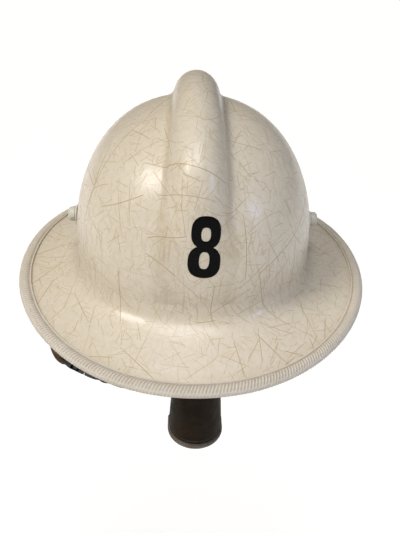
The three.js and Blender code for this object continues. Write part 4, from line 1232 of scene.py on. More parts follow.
def suspension_band():
    """The moulded ring with two beads along its inside, its clips and its tabs."""
    path = oval_path(RING_REACH - RING_THICKNESS / 2.0, OVAL_POWER, 361)[:-1]
    level = (RING_LOW[2] + RING_HIGH[2]) / 2.0
    ring = Strip(at_height(path, level), (0.0, 0.0, 1.0), closed=True)
    height = RING_HIGH[2] - RING_LOW[2]
    ring.solid(
        "suspension_band", height, RING_THICKNESS, NYLON, "helmet", ["suspension_ring"], 0.7
    )
    for index, z in enumerate((RING_LOW[2] + 2.2, RING_HIGH[2] - 2.2)):
        inside = oval_path(RING_REACH - RING_THICKNESS, OVAL_POWER, 301)[:-1]
        tube(
            f"suspension_bead_{index}", at_height(inside, z), 0.55, NYLON, "helmet", sides=8,
            closed=True
        )
    for node in ("clip_front_left", "clip_front_right", "clip_rear_left", "clip_rear_right"):
        refined(node, NYLON, "helmet", 0.7)
    for node in ("band_tab_left", "band_tab_right", "band_tab_front_left", "band_tab_front_right"):
        refined(node, NYLON, "helmet", 0.5)


CRADLES = {"cradle_strap_lengthwise": 90.0, "cradle_strap_cross_a": 30.0, "cradle_strap_cross_b": 150.0}
CRADLE_THICKNESS = 1.4
CRADLE_WIDTH = 20.0
# The stitched box with a cross that holds each tail: how far from both ends it starts, its size, and how
# far its thread lies from the strap's middle.
CRADLE_SEWN = (54.5, 66.0)
CRADLE_BOX_LENGTH = 11.0
CRADLE_BOX_RISE = 7.4
CRADLE_STITCH_OUT = 0.72


def cradle_end(azimuth, top):
    """Half of a cradle strap in its upright plane, from its sewn tail round the ring and up to the top."""
    ring_out = float(oval_radius(azimuth, *RING_REACH, OVAL_POWER))
    ring_in = float(oval_radius(azimuth, *(RING_REACH - RING_THICKNESS), OVAL_POWER))
    half = CRADLE_THICKNESS / 2.0 + 0.15
    inner, outer = ring_in - half, ring_out + half
    foot = RING_LOW[2] + 2.0
    angle = np.linspace(0.0, np.pi / 2.0, 120)
    arch = np.stack([inner * np.cos(angle), foot + (top - foot) * np.sin(angle)], -1)
    above = arch[(arch[:, 1] > RING_HIGH[2] + 9.0) & (arch[:, 1] < RING_HIGH[2] + 22.0)]
    slope = unit(np.gradient(above, axis=0))
    doubled = above + np.stack([slope[:, 1], -slope[:, 0]], -1) * (CRADLE_THICKNESS + 0.1)
    turns = np.linspace(0.0, np.pi, 15)
    middle, reach = (inner + outer) / 2.0, (outer - inner) / 2.0
    below = np.stack([middle + reach * np.cos(turns), RING_LOW[2] - reach * np.sin(turns) * 0.8], -1)
    outside = [(outer, RING_HIGH[2] + 1.0), (outer, RING_HIGH[2] - 3.0), (outer, RING_LOW[2] + 2.0)]
    path = np.concatenate([doubled[::-1], outside, below, arch[arch[:, 1] > RING_LOW[2] + 3.0]])
    return path, ring_in


def cradle_straps():
    """Three webbing straps over the head, each sewn round the ring at both ends with a stitched box."""
    threads = []
    for node, degrees in CRADLES.items():
        azimuth = math.radians(degrees)
        top = node_box(node)[1][2] - CRADLE_THICKNESS / 2.0
        routes, widths, sags = [], [], []
        for turn in (0.0, math.pi):
            path, ring_in = cradle_end(azimuth + turn, top)
            path = resampled(path, 1.5)
            outward = np.array([math.cos(azimuth + turn), math.sin(azimuth + turn), 0.0])
            tangent = oval_path(RING_REACH, OVAL_POWER, 3, azimuth + turn - 0.05, azimuth + turn + 0.05)
            tangent = unit(np.append(tangent[2] - tangent[0], 0.0))
            level = np.array([-outward[1], outward[0], 0.0])
            rise = smoothstep(path[:, 1], RING_HIGH[2] + 14.0, RING_HIGH[2] + 48.0)[:, None]
            routes.append(outward * path[:, :1] + np.array([0.0, 0.0, 1.0]) * path[:, 1:])
            widths.append(unit(tangent * (1.0 - rise) + level * rise) * (1.0 if turn == 0.0 else -1.0))
            hug = (1.0 - smoothstep(path[:, 1], RING_HIGH[2], RING_HIGH[2] + 14.0))[:, None]
            sags.append(-outward * hug / (2.0 * ring_in))
        halves = (routes, widths, sags)
        points, across, sag = (np.concatenate([one[:-1], other[::-1]]) for one, other in halves)
        strap = Strip(points, across, sag=sag)
        name = node.replace("strap", "webbing")
        strap.solid(name, CRADLE_WIDTH, CRADLE_THICKNESS, WEBBING, "helmet", [node], 0.6)
        for start in (CRADLE_SEWN[0], strap.run[-1] - CRADLE_SEWN[1]):
            ends, sides = (start, start + CRADLE_BOX_LENGTH), (-CRADLE_BOX_RISE, CRADLE_BOX_RISE)
            for out in (-CRADLE_STITCH_OUT, CRADLE_STITCH_OUT):
                threads += [strap.line(*ends, rise, out) for rise in sides]
                threads += [strap.cross_line((run, run), sides, out) for run in ends]
                threads += [strap.cross_line(ends, crossing, out) for crossing in (sides, sides[::-1])]
    stitching("cradle_stitches", threads, DARK_THREAD, "helmet", 2.0, 1.6, 0.26)


def crown_disc():
    """A dished leather disc under the crossing straps, with a row of stitches round its edge."""
    high = node_box("crown_patch")[1]
    radius, top = high[0], high[2]
    steps = np.linspace(0.0, 1.0, 16)
    flat = radius - 0.7
    upper = [(flat * s, top - (flat * s) ** 2 / 150.0) for s in steps]
    turns = np.linspace(0.0, np.pi, 7)[1:-1]
    edge = [(flat + 0.7 * math.sin(t), top - flat**2 / 150.0 - 0.8 + 0.8 * math.cos(t)) for t in turns]
    lower = [(flat * s, top - 1.6 - (flat * s) ** 2 / 150.0) for s in steps[::-1]]
    profile = np.array(upper + edge + lower)
    angle = np.linspace(0.0, 2.0 * np.pi, 96, endpoint=False)
    grid = np.stack(
        [profile[:, :1] * np.cos(angle), profile[:, :1] * np.sin(angle), profile[:, 1:] + 0.0 * angle], -1
    )
    faces = grid_faces(len(profile), len(angle), wrap_columns=True)
    piece("crown_disc", grid, faces, TAN_LEATHER, "helmet", ["crown_patch"], 180.0)
    lines = []
    for reach in (radius - 2.4, 8.0):
        height = top - 1.62 - reach**2 / 150.0
        lines.append(at_height(circle(0.0, 0.0, reach, 121), height))
    stitching("crown_disc_stitches", lines, PALE_THREAD, "helmet", 2.6, 2.0, 0.3)


# ---------------------------------------------------------------- headband and its pad
BAND_LOW, BAND_HIGH = node_box("headband")
BAND_HALF_WIDTH, BAND_FRONT, BAND_TAIL = BAND_HIGH[0], -BAND_LOW[1], BAND_HIGH[1]
BAND_THICKNESS = 1.8


def band_path(depth, start=180.0, end=360.0, tails=True):
    """The headband seen from above at a depth inside its outer face."""
    reach = (BAND_HALF_WIDTH - depth, BAND_FRONT - depth, BAND_FRONT)
    path = oval_path(reach, 2.0, 181, math.radians(start), math.radians(end))
    if not tails:
        return path
    tail = np.linspace(BAND_TAIL, 0.0, 20)[:-1]
    left = np.stack([np.full(19, path[0][0]), tail], -1)
    right = np.stack([np.full(19, path[-1][0]), tail[::-1]], -1)
    return np.concatenate([left, path, right])


def head_band():
    """The leather headband, open at the rear."""
    level = (BAND_LOW[2] + BAND_HIGH[2]) / 2.0
    height = BAND_HIGH[2] - BAND_LOW[2]
    path = resampled(at_height(band_path(BAND_THICKNESS / 2.0), level), 2.0)
    band = Strip(path, (0.0, 0.0, 1.0))
    band.solid(
        "headband_leather", height, BAND_THICKNESS, DARK_LEATHER, "helmet",
        ["headband"], 0.7, 5.0, 14
    )
    inside = BAND_THICKNESS / 2.0
    length = band.run[-1]
    lines = [band.line(6.0, length - 6.0, rise, out) for rise in (-12.6, 12.6) for out in (-inside, inside)]
    stitching("headband_stitches", lines, PALE_THREAD, "helmet", 3.4, 2.5, 0.3)


def brow_cushion():
    """A padded strip inside the headband's front, quilted by upright seams and swollen between them."""
    low, high = node_box("brow_pad")
    start, end = 208.6, 331.4
    back = resampled(band_path(BAND_THICKNESS + 0.5, start, end, tails=False), 1.6)
    columns = len(back)
    along = unit(np.gradient(back, axis=0))
    inward = np.stack([-along[:, 1], along[:, 0]], -1)
    run = arc_lengths(back)
    rows = 17
    rise = np.linspace(-1.0, 1.0, rows)
    corner = 6.0
    near_end = np.minimum(run, run[-1] - run)
    reach = (high[2] - low[2]) / 2.0 - 0.6
    into_corner = 1.0 - np.clip(near_end / corner, 0.0, 1.0)
    shorten = corner * (1.0 - np.sqrt(np.clip(1.0 - into_corner**2, 0.0, 1.0)))
    half = reach - shorten
    middle = (high[2] + low[2]) / 2.0
    seams = np.linspace(0.0, run[-1], 9)
    nearest = np.min(np.abs(run[:, None] - seams[None, :]), axis=1)
    spacing = seams[1] / 2.0
    body = np.sqrt(np.clip(1.0 - (1.0 - nearest / spacing) ** 2, 0.0, 1.0))
    crown = np.sqrt(np.clip(1.0 - rise**2, 0.0, 1.0))
    puff = 0.7 + 3.0 * crown[:, None] * (0.3 + 0.7 * body)[None, :]
    height = middle + rise[:, None] * half[None, :]
    front = back[None] + inward[None] * puff[..., None]
    rear = np.broadcast_to(back[None], front.shape)
    sheets = [np.concatenate([sheet, height[..., None]], -1) for sheet in (rear, front)]
    points = np.concatenate([sheet.reshape(-1, 3) for sheet in sheets])
    count = rows * columns
    faces = [tuple(reversed(face)) for face in grid_faces(rows, columns)]
    faces += [tuple(index + count for index in face) for face in grid_faces(rows, columns)]
    border = list(range(columns)) + [row * columns + columns - 1 for row in range(1, rows)]
    border += [(rows - 1) * columns + column for column in range(columns - 2, -1, -1)]
    border += [row * columns for row in range(rows - 2, 0, -1)]
    for first, second in zip(border, border[1:] + border[:1]):
        faces.append((first, second, second + count, first + count))
    obj = piece("brow_cushion", points, faces, PALE_LEATHER, "helmet", ["brow_pad"], 180.0)
    held = np.zeros(2 * count, bool)
    held[:count] = True
    held[count:] = ((np.abs(rise)[:, None] > 0.99) | (nearest[None, :] < 1.0)).ravel()
    return swollen(obj, held, 2.2)


def swollen(obj, held, cap):
    """Blows a closed skin up between its held points by a cloth simulation, capped in millimetres."""
    start = np.array([tuple(vert.co) for vert in obj.data.vertices])
    group = obj.vertex_groups.new(name="held")
    group.add([int(index) for index in np.nonzero(held)[0]], 1.0, "REPLACE")
    cloth = obj.modifiers.new("fill", "CLOTH")
    cloth.settings.use_pressure = True
    cloth.settings.uniform_pressure_force = 4.0
    cloth.settings.vertex_group_mass = "held"
    cloth.settings.effector_weights.gravity = 0.0
    cloth.settings.quality = 6
    cloth.collision_settings.use_collision = False
    scene = bpy.context.scene
    for step in range(1, 21):
        scene.frame_set(step)
    settled = obj.evaluated_get(bpy.context.evaluated_depsgraph_get())
    end = np.array([tuple(vert.co) for vert in settled.data.vertices])
    moved = end - start
    distance = np.linalg.norm(moved, axis=-1, keepdims=True)
    limit = cap * MM
    moved = moved * np.minimum(1.0, limit / np.maximum(distance, 1e-9))
    obj.modifiers.remove(cloth)
    obj.vertex_groups.remove(group)
    obj.data.vertices.foreach_set("co", (start + moved).astype(np.float32).ravel())
    scene.frame_set(1)
    smooth = obj.modifiers.new("smooth", "SUBSURF")
    smooth.levels = smooth.render_levels = 1
    return obj


# ---------------------------------------------------------------- nape band and size adjuster
def nape_band():
    """The band that closes the headband at the rear. It drops towards the nape and slides on the tails."""
    low, high = node_box("nape_band")
    half_width, start, rear = high[0] - 1.3, low[1], high[1] - 1.3
    bend = 50.0
    angle = np.linspace(0.0, np.pi, 160)
    arc = np.stack([half_width * np.cos(angle), bend + (rear - bend) * np.sin(angle)], -1)
    side = np.linspace(start, bend, 24)[:-1]
    path = np.concatenate(
        [np.stack([np.full(23, half_width), side], -1), arc,
        np.stack([np.full(23, -half_width), side[::-1]], -1)]
    )
    height = high[2] / 2.0 - 0.4 * (path[:, 1] - start)
    path = resampled(np.concatenate([path, height[:, None]], -1), 2.0)
    band = Strip(path, (0.0, 0.0, 1.0), square=False)
    band.solid(
        "nape_leather", high[2], 1.6, DARK_LEATHER, "nape_assembly", ["nape_band"], 0.8,
        6.0, 12
    )
    length = band.run[-1]
    lines = [band.line(6.0, length - 6.0, rise, out) for rise in (-9.6, 9.6) for out in (-0.8, 0.8)]
    stitching("nape_stitches", lines, PALE_THREAD, "nape_assembly", 3.4, 2.5, 0.3)
    for side, word in SIDES:
        for row, y in enumerate((start + 7.0, start + 19.0)):
            centre = (0.0, y, high[2] / 2.0 - 0.4 * (y - start))
            name = f"nape_rivet_{word}_{row}"
            rivet(
                name, centre, side, half_width - 1.4, half_width + 1.9, 1.4, 3.4, "nape_assembly", (), 0.8
            )


def size_adjuster():
    """The ratchet's box and its ribbed knob at the nape."""
    low, high = node_box("adjuster_housing")
    centre = (low + high) / 2.0
    origin = (centre[0], 0.0, centre[2])
    axes = ((-1.0, 0.0, 0.0), (0.0, 0.0, 1.0), (0.0, 1.0, 0.0))
    outline = rounded_rectangle(high[0], low[2] - centre[2], high[2] - centre[2], 7.5, 12)
    plate("adjuster_box", [outline], low[1], high[1], origin, axes, NYLON, "nape_assembly",
          ["adjuster_housing"], 1.8)
    for index, x in enumerate((-20.0, -17.8, -15.6, 15.6, 17.8, 20.0)):
        reach = 6.5 if abs(x) > 19.0 else 8.0
        points = [(x, high[1] - 0.15, centre[2] + z) for z in np.linspace(-reach, reach, 12)]
        tube(f"adjuster_rib_{index}", points, 0.55, NYLON, "nape_assembly", sides=8)
    low, high = node_box("adjuster_knob")
    radius = high[0]
    angle = np.linspace(0.0, 2.0 * np.pi, 192, endpoint=False)[None, :]
    flute = 0.5 - 0.5 * np.cos(12.0 * angle)
    grip = high[1] - 10.0
    profile = [
        (0.0, grip + 0.2, 0.0), (0.86, grip, 0.0), (0.95, grip + 0.25, 0.5), (0.985, grip + 0.9, 0.9),
        (1.0, grip + 2.0, 1.0),
        (1.0, high[1] - 2.6, 1.0), (0.985, high[1] - 1.4, 0.95), (0.95, high[1] - 0.6, 0.7),
        (0.90, high[1] - 0.12, 0.3),
        (0.84, high[1], 0.0), (0.74, high[1] - 0.15, 0.0), (0.70, high[1] - 0.7, 0.0),
        (0.66, high[1] - 1.3, 0.0),
        (0.5, high[1] - 1.4, 0.0), (0.36, high[1] - 1.3, 0.0), (0.32, high[1] - 0.7, 0.0),
        (0.28, high[1] - 0.4, 0.0),
        (0.0, high[1] - 0.3, 0.0),
    ]
    rows = []
    for share, y, depth in profile:
        reach = radius * share - 1.5 * depth * flute
        rows.append(
            np.stack([reach * np.cos(angle), y + 0.0 * angle, centre[2] + reach * np.sin(angle)], -1)[0]
        )
    faces = grid_faces(len(rows), 192, wrap_columns=True)
    piece(
        "adjuster_grip", np.concatenate(rows), faces, NYLON, "size_knob", ["adjuster_knob"], 50.0
    )
    points = [(x, high[1] - 0.5, centre[2]) for x in np.linspace(radius * 0.42, radius * 0.6, 6)]
    tube("adjuster_mark", points, 0.7, PALE_THREAD, "size_knob", sides=10)


# ---------------------------------------------------------------- chin strap
STRAP_WIDTH = 20.0
STRAP_THICKNESS = 2.0
STRAP_STITCH_RISE = 7.9
DOWN = np.array([0.0, 0.0, -1.0])
ANCHOR = node_box("strap_hanger_right")[0][0] - 0.3 - STRAP_THICKNESS / 2.0
STRAP_TOP = -7.0
BUCKLE_CENTRE = np.array([-96.0, -46.0, -91.0])
BUCKLE_ALONG = unit((0.91, -0.2, -0.36))
BUCKLE_OUTWARD = np.array([-0.464, 0.0, -0.885])
BUCKLE_OUTWARD = unit(BUCKLE_OUTWARD - BUCKLE_ALONG * BUCKLE_OUTWARD.dot(BUCKLE_ALONG))
BUCKLE_ACROSS = np.cross(BUCKLE_OUTWARD, BUCKLE_ALONG)
BUCKLE_HALF = 20.5
CUP_PIVOT = np.array([6.5, -66.0, -92.0])
LOOP_END = 37.1
LOOP_OUTER = 36.5
RUN_TOP = np.array([90.4, -6.0, -34.0])
RUN_FOOT = np.array([80.0, -24.0, -70.0])


def buckle_place(along, across=0.0, out=0.0):
    return BUCKLE_CENTRE + BUCKLE_ALONG * along + BUCKLE_ACROSS * across + BUCKLE_OUTWARD * out


def facings(points, first, last, start, end):
    """Outward directions that turn from one facing to another between two shares of a route."""
    share = arc_lengths(points) / arc_lengths(points)[-1]
    turned = smoothstep(share, start, end)[:, None]
    along = unit(np.gradient(points, axis=0))
    outward = np.asarray(first) * (1.0 - turned) + np.asarray(last) * turned
    return unit(outward - along * (outward * along).sum(-1, keepdims=True))


def looped_end(points, outward, bar_start, bar_end, bar_half, turn, tail):
    """Carries a route over a bar past its end, round it and back under itself to a sewn tail."""
    run = arc_lengths(points)
    left = run[-1] - run
    lift = bar_half + STRAP_THICKNESS / 2.0 + 0.15
    doubled = STRAP_THICKNESS / 2.0 + 0.06
    near, further = 7.0, 13.0
    rise = doubled + (lift - doubled) * (1.0 - smoothstep(left, 0.5, near))
    rise = rise * (1.0 - smoothstep(left, tail, tail + further))
    upper = points + outward * rise[:, None]
    along = unit(points[-1] - points[-2])
    out = outward[-1]
    beyond = points[-1] + along * (bar_end - 0.6)
    angle = np.linspace(0.0, np.pi, 19)[:, None]
    arc = beyond + along * np.sin(angle) * turn + out * np.cos(angle) * lift
    back = left < tail
    under = -(doubled + (lift - doubled) * (1.0 - smoothstep(left[back], 0.5, near)))
    lower = (points[back] + outward[back] * under[:, None])[::-1]
    route = np.concatenate([upper, points[-1:] + along * bar_start + out * lift, arc, lower])
    return route


def strap_solid(name, route, across, node, threads):
    """A leather strap along a route, stitched along both its edges."""
    route, across = np.asarray(route), np.asarray(across)
    travelled = arc_lengths(route)
    at = np.linspace(0.0, travelled[-1], round(travelled[-1] / 1.3))
    strap = Strip(sampled(route, travelled, at), sampled(across, travelled, at))
    strap.solid(
        name, STRAP_WIDTH, STRAP_THICKNESS, TAN_LEATHER, "chin_strap", [node], 0.75, 5.0, 8
    )
    face = STRAP_THICKNESS / 2.0
    threads += strap.edge_lines(STRAP_STITCH_RISE, face, 6.0, 5.0)


def anchor(side, height):
    return np.array([side * ANCHOR, 0.0, height])


def straight(start, end, spacing=1.5):
    count = max(2, round(np.linalg.norm(np.subtract(end, start)) / spacing))
    return np.linspace(start, end, count)


def curve(start, leaving, end, arriving, reach):
    start, leaving, end, arriving = (np.asarray(v, float) for v in (start, leaving, end, arriving))
    return bezier(start, start + leaving * reach, end - arriving * reach, end)


def tail_of(route, reach):
    """Which points of a route lie within a distance of its end."""
    travelled = arc_lengths(route)
    return travelled[-1] - travelled < reach


def looped_widths(across, looped, back):
    """Width directions for a strap that goes round a bar and back along itself."""
    round_bar = np.tile(across[-1], (len(looped) - len(across) - back.sum(), 1))
    return np.concatenate([across, round_bar, across[back][::-1]])


def chin_straps():
    """The upper, left and right straps, each looped round the bars that hold it."""
    threads = []
    hanger_foot = -24.0
    end = buckle_place(-BUCKLE_HALF - 0.4)
    bend = curve(anchor(-1, hanger_foot), DOWN, end, BUCKLE_ALONG, 22.0)
    route = np.concatenate([straight(anchor(-1, STRAP_TOP), anchor(-1, hanger_foot))[:-1], bend])
    route = resampled(route, 1.3)
    outward = facings(route, (-1.0, 0.0, 0.0), BUCKLE_OUTWARD, 0.3, 1.0)
    across = np.cross(outward, unit(np.gradient(route, axis=0)))
    looped = looped_end(route, outward, 0.4, 2.3, 2.0, 2.3, 17.0)
    widths = looped_widths(across, looped, tail_of(route, 17.0))
    strap_solid("strap_upper_leather", looped, widths, "chin_strap_upper", threads)

    start, finish = buckle_place(BUCKLE_HALF + 0.4), CUP_PIVOT - np.array([LOOP_END, 0.0, 0.0])
    route = resampled(curve(start, BUCKLE_ALONG, finish, (0.97, 0.0, 0.25), 20.0), 1.0)
    outward = facings(route, BUCKLE_OUTWARD, DOWN, 0.0, 1.0)
    across = np.cross(outward, unit(np.gradient(route, axis=0)))
    half = arc_lengths(route)[-1] / 2.0 - 6.0
    first = looped_end(route[::-1], outward[::-1], 0.4, 2.3, 2.0, 2.3, half)
    last = looped_end(route, outward, 0.6, 3.6, 1.0, 2.1, half)
    back, ahead = tail_of(route[::-1], half), tail_of(route, half)
    travelled = arc_lengths(route)
    left = first[: len(route)][::-1]
    joined = np.where((travelled < travelled[-1] / 2.0)[:, None], left, last[: len(route)])
    turn_back, turn_ahead = first[len(route):], last[len(route):]
    whole = np.concatenate([turn_back[::-1], joined, turn_ahead])
    tail_across = across[: back.sum()]
    lead = np.tile(across[0], (len(turn_back) - len(tail_across), 1))
    follow = np.tile(across[-1], (len(turn_ahead) - ahead.sum(), 1))
    widths = np.concatenate([tail_across[::-1], lead, across, follow, across[ahead][::-1]])
    strap_solid("strap_left_leather", whole, widths, "chin_strap_left", threads)

    run_along = unit(RUN_FOOT - RUN_TOP)
    finish = CUP_PIVOT + np.array([LOOP_END, 0.0, 0.0])
    top = anchor(1, hanger_foot + 3.0)
    route = np.concatenate([
        straight(anchor(1, STRAP_TOP), top)[:-1],
        curve(top, DOWN, RUN_TOP, run_along, 5.0)[:-1],
        straight(RUN_TOP, RUN_FOOT)[:-1],
        curve(RUN_FOOT, run_along, finish, (-1.0, 0.0, 0.0), 18.0),
    ])
    route = resampled(route, 1.3)
    outward = facings(route, (1.0, 0.0, 0.0), DOWN, 0.52, 1.0)
    across = np.cross(outward, unit(np.gradient(route, axis=0)))
    looped = looped_end(route, outward, 0.6, 3.6, 1.0, 2.1, 20.0)
    widths = looped_widths(across, looped, tail_of(route, 20.0))
    strap_solid("strap_right_leather", looped, widths, "chin_strap_right", threads)
    stitching("strap_stitches", threads, PALE_THREAD, "chin_strap", 3.2, 2.4, 0.27)


def strap_slider():
    """A flat tube round the right strap, with three grip ribs on its outer face."""
    place = (RUN_TOP + RUN_FOOT) / 2.0
    along = unit(RUN_FOOT - RUN_TOP)
    outward = np.array([1.0, 0.0, 0.0])
    outward = unit(outward - along * along[0])
    across = np.cross(outward, along)
    outline = rounded_rectangle(13.0, -2.7, 2.7, 1.6, 8)
    hole = rounded_rectangle(10.7, -1.45, 1.45, 0.7, 6)
    body = "strap_length_slider"
    plate(
        "slider_frame", [outline, hole], -6.0, 6.0, place, (across, outward, along), BLACK_PLASTIC, body,
        ["strap_slider"], 0.6,
    )
    for index, shift in enumerate((-3.0, 0.0, 3.0)):
        points = [place + along * shift + outward * 2.62 + across * s for s in np.linspace(-9.5, 9.5, 24)]
        tube(f"slider_rib_{index}", points, 0.55, BLACK_PLASTIC, body, sides=10)


# ---------------------------------------------------------------- buckle
def buckle_shell(name, stations):
    """A solid swept along the buckle from sections given as (along, half width, half thickness)."""
    rings = []
    for along, half_width, half_thickness in stations:
        section = strip_section(
            2.0 * half_width, 2.0 * half_thickness, min(2.2, half_thickness * 0.6), 6, 5
        )
        rings.append([buckle_place(along, x, z) for x, z in section])
    mesh = bpy.data.meshes.new(name)
    points = np.concatenate(rings)
    mesh.from_pydata((points * MM).tolist(), [], tube_faces(len(rings), len(rings[0])))
    obj = bpy.data.objects.new(name, mesh)
    bpy.context.scene.collection.objects.link(obj)
    return obj


def buckle_cutter(low, high):
    """A box in the buckle's own axes, used only to cut."""
    mesh = bpy.data.meshes.new("cutter")
    corners = [(x, y, z) for x in (low[0], high[0]) for y in (low[1], high[1]) for z in (low[2], high[2])]
    faces = [(0, 1, 3, 2), (4, 6, 7, 5), (0, 4, 5, 1), (2, 3, 7, 6), (0, 2, 6, 4), (1, 5, 7, 3)]
    mesh.from_pydata([tuple(buckle_place(*corner) * MM) for corner in corners], [], faces)
    obj = bpy.data.objects.new("cutter", mesh)
    bpy.context.scene.collection.objects.link(obj)
    return obj


def carved(obj, cutters, node, body):
    """Takes cutters out of a solid, then rounds its edges and finishes it."""
    for target in [obj, *cutters]:
        edited = bmesh.new()
        edited.from_mesh(target.data)
        bmesh.ops.recalc_face_normals(edited, faces=edited.faces)
        edited.to_mesh(target.data)
        edited.free()
    for cutter in cutters:
        cut = obj.modifiers.new("cut", "BOOLEAN")
        cut.operation = "DIFFERENCE"
        cut.solver = "EXACT"
        cut.object = cutter
    depsgraph = bpy.context.evaluated_depsgraph_get()
    result = bpy.data.meshes.new_from_object(obj.evaluated_get(depsgraph))
    obj.modifiers.clear()
    obj.data = result
    for cutter in cutters:
        bpy.data.objects.remove(cutter)
    finished(obj, BLACK_PLASTIC, body, [node], 40.0)
    return bevelled(obj, 0.3, 2, 45.0)


def buckle():
    """The side-release buckle: housing, plug, prongs with their pads, and ribs to grip."""
    half = BUCKLE_HALF
    socket = buckle_shell("buckle_housing", [
        (-half, 10.6, 1.6), (-half + 0.3, 11.3, 1.9), (-18.4, 11.7, 1.95), (-16.2, 11.9, 2.5),
        (-14.2, 12.0, 3.7),
        (-11.5, 12.0, 4.25), (-8.0, 11.7, 4.45), (-4.0, 11.9, 4.5), (0.5, 12.0, 4.5), (1.6, 11.9, 4.35),
        (2.0, 11.6, 4.1),
    ])
    carved(socket, [
        buckle_cutter((-12.5, -9.2, -2.7), (3.0, 9.2, 2.7)),
        buckle_cutter((-12.0, -13.0, -2.7), (-3.5, 13.0, 2.7)),
        buckle_cutter((-18.7, -10.5, -6.0), (-15.5, 10.5, 6.0)),
    ], "buckle_socket", "chin_strap")
    plug = buckle_shell("buckle_plug", [
        (2.4, 11.6, 4.1), (2.8, 11.9, 4.35), (3.8, 12.0, 4.5), (9.0, 12.0, 4.4), (12.0, 12.0, 4.1),
        (14.2, 12.0, 3.5),
        (16.2, 11.9, 2.5), (18.4, 11.7, 1.95), (half - 0.3, 11.3, 1.9), (half, 10.6, 1.6),
    ])
    carved(plug, [buckle_cutter((15.5, -10.5, -6.0), (18.7, 10.5, 6.0))], "buckle_insert", "chin_strap")
    tongue = buckle_shell("buckle_tongue", [
        (-11.0, 1.4, 1.5), (-10.2, 2.0, 2.1), (-8.0, 2.2, 2.3), (3.0, 2.2, 2.3),
    ])
    finished(tongue, BLACK_PLASTIC, "chin_strap", (), 40.0)
    for index, along in enumerate((5.4, 7.2, 9.0)):
        for face in (-1, 1):
            points = [buckle_place(along, across, face * 4.4) for across in np.linspace(-8.0, 8.0, 20)]
            name = f"buckle_rib_{'inner' if face < 0 else 'outer'}_{index}"
            tube(name, points, 0.45, BLACK_PLASTIC, "chin_strap", sides=8)
    for side, word in ((1, "front"), (-1, "rear")):
        outline = rounded_loop(
            [(-11.4, 7.4), (-10.9, 9.4), (-9.4, 10.8), (-7.6, 11.35), (-5.8, 11.0), (-4.7, 9.9),
            (-4.4, 8.75), (-2.0, 8.55),
             (1.4, 8.5), (1.85, 7.3), (1.4, 6.1), (-2.0, 6.05), (-5.0, 6.1), (-9.0, 6.3), (-11.0, 6.6)], 4,
        )
        axes = (BUCKLE_ALONG, BUCKLE_ACROSS * side, BUCKLE_OUTWARD)
        plate(
            f"release_pad_{word}", [outline], -2.3, 2.3, BUCKLE_CENTRE, axes, BLACK_PLASTIC,
            f"prong_{word}",
            [f"buckle_prong_{word}"], 0.45,
        )


# ---------------------------------------------------------------- chin cup
CUP_FOOT = -148.0
CUP_MOUTH = -84.0
CUP_RADIUS = 25.0
CUP_TAPER = 20.6 / 25.0
CUP_LEGS = 12.0
CUP_WALL = 3.0


def cup_path(radius, legs, count=90):
    """The cup's D-shaped plan: round at the front, with straight legs to the rear."""
    angle = np.linspace(0.0, -np.pi, count)
    round_part = np.stack([radius * np.cos(angle), radius * np.sin(angle)], -1)
    leg = np.linspace(legs, 0.0, 14)[:-1]
    right = np.stack([np.full(13, radius), leg], -1)
    left = np.stack([np.full(13, -radius), leg[::-1]], -1)
    return np.concatenate([right, round_part, left])


def cup_scale(height):
    share = (height - CUP_FOOT) / (CUP_MOUTH - CUP_FOOT)
    return 1.0 + (CUP_TAPER - 1.0) * share + 0.012 * np.sin(np.pi * np.clip(share, 0.0, 1.0))


def cup_wall(name, outer, thickness, low, high, legs, material, replaces, round_edge):
    """An upright wall that follows the cup's plan at a radius, rounded at its edges and its ends."""
    section = strip_section(high - low, thickness, min(round_edge, thickness * 0.48), 40, 5)
    level = (low + high) / 2.0 + section[:, 0]
    depth = thickness / 2.0 + section[:, 1]
    path = cup_path(outer, legs)
    along = unit(np.gradient(path, axis=0))
    inward = np.stack([along[:, 1], -along[:, 0]], -1) * -1.0
    if (inward[len(path) // 2] * path[len(path) // 2]).sum() > 0.0:
        inward = -inward
    run = arc_lengths(path)
    near_end = np.minimum(run, run[-1] - run)
    full = np.sqrt(np.clip(1.0 - (1.0 - np.clip(near_end / (thickness * 0.6), 0.0, 1.0)) ** 2, 0.03, 1.0))
    thick = thickness / 2.0 + (depth[None, :] - thickness / 2.0) * full[:, None]
    flat = path[:, None] + inward[:, None] * thick[..., None]
    flat = flat * cup_scale(level)[None, :, None] + CUP_PIVOT[:2]
    grid = np.concatenate([flat, np.broadcast_to(level[None, :, None], flat.shape[:2] + (1,))], -1)
    faces = tube_faces(len(path), len(section))
    obj = piece(name, grid, faces, material, "chin_cup", replaces, 60.0)
    return obj


def cup_line(outer, height, legs, inset=0.0):
    """A level line on the cup's wall, for stitches and beads."""
    path = cup_path(outer - inset, legs)
    return at_height(path * cup_scale(height) + CUP_PIVOT[:2], height)


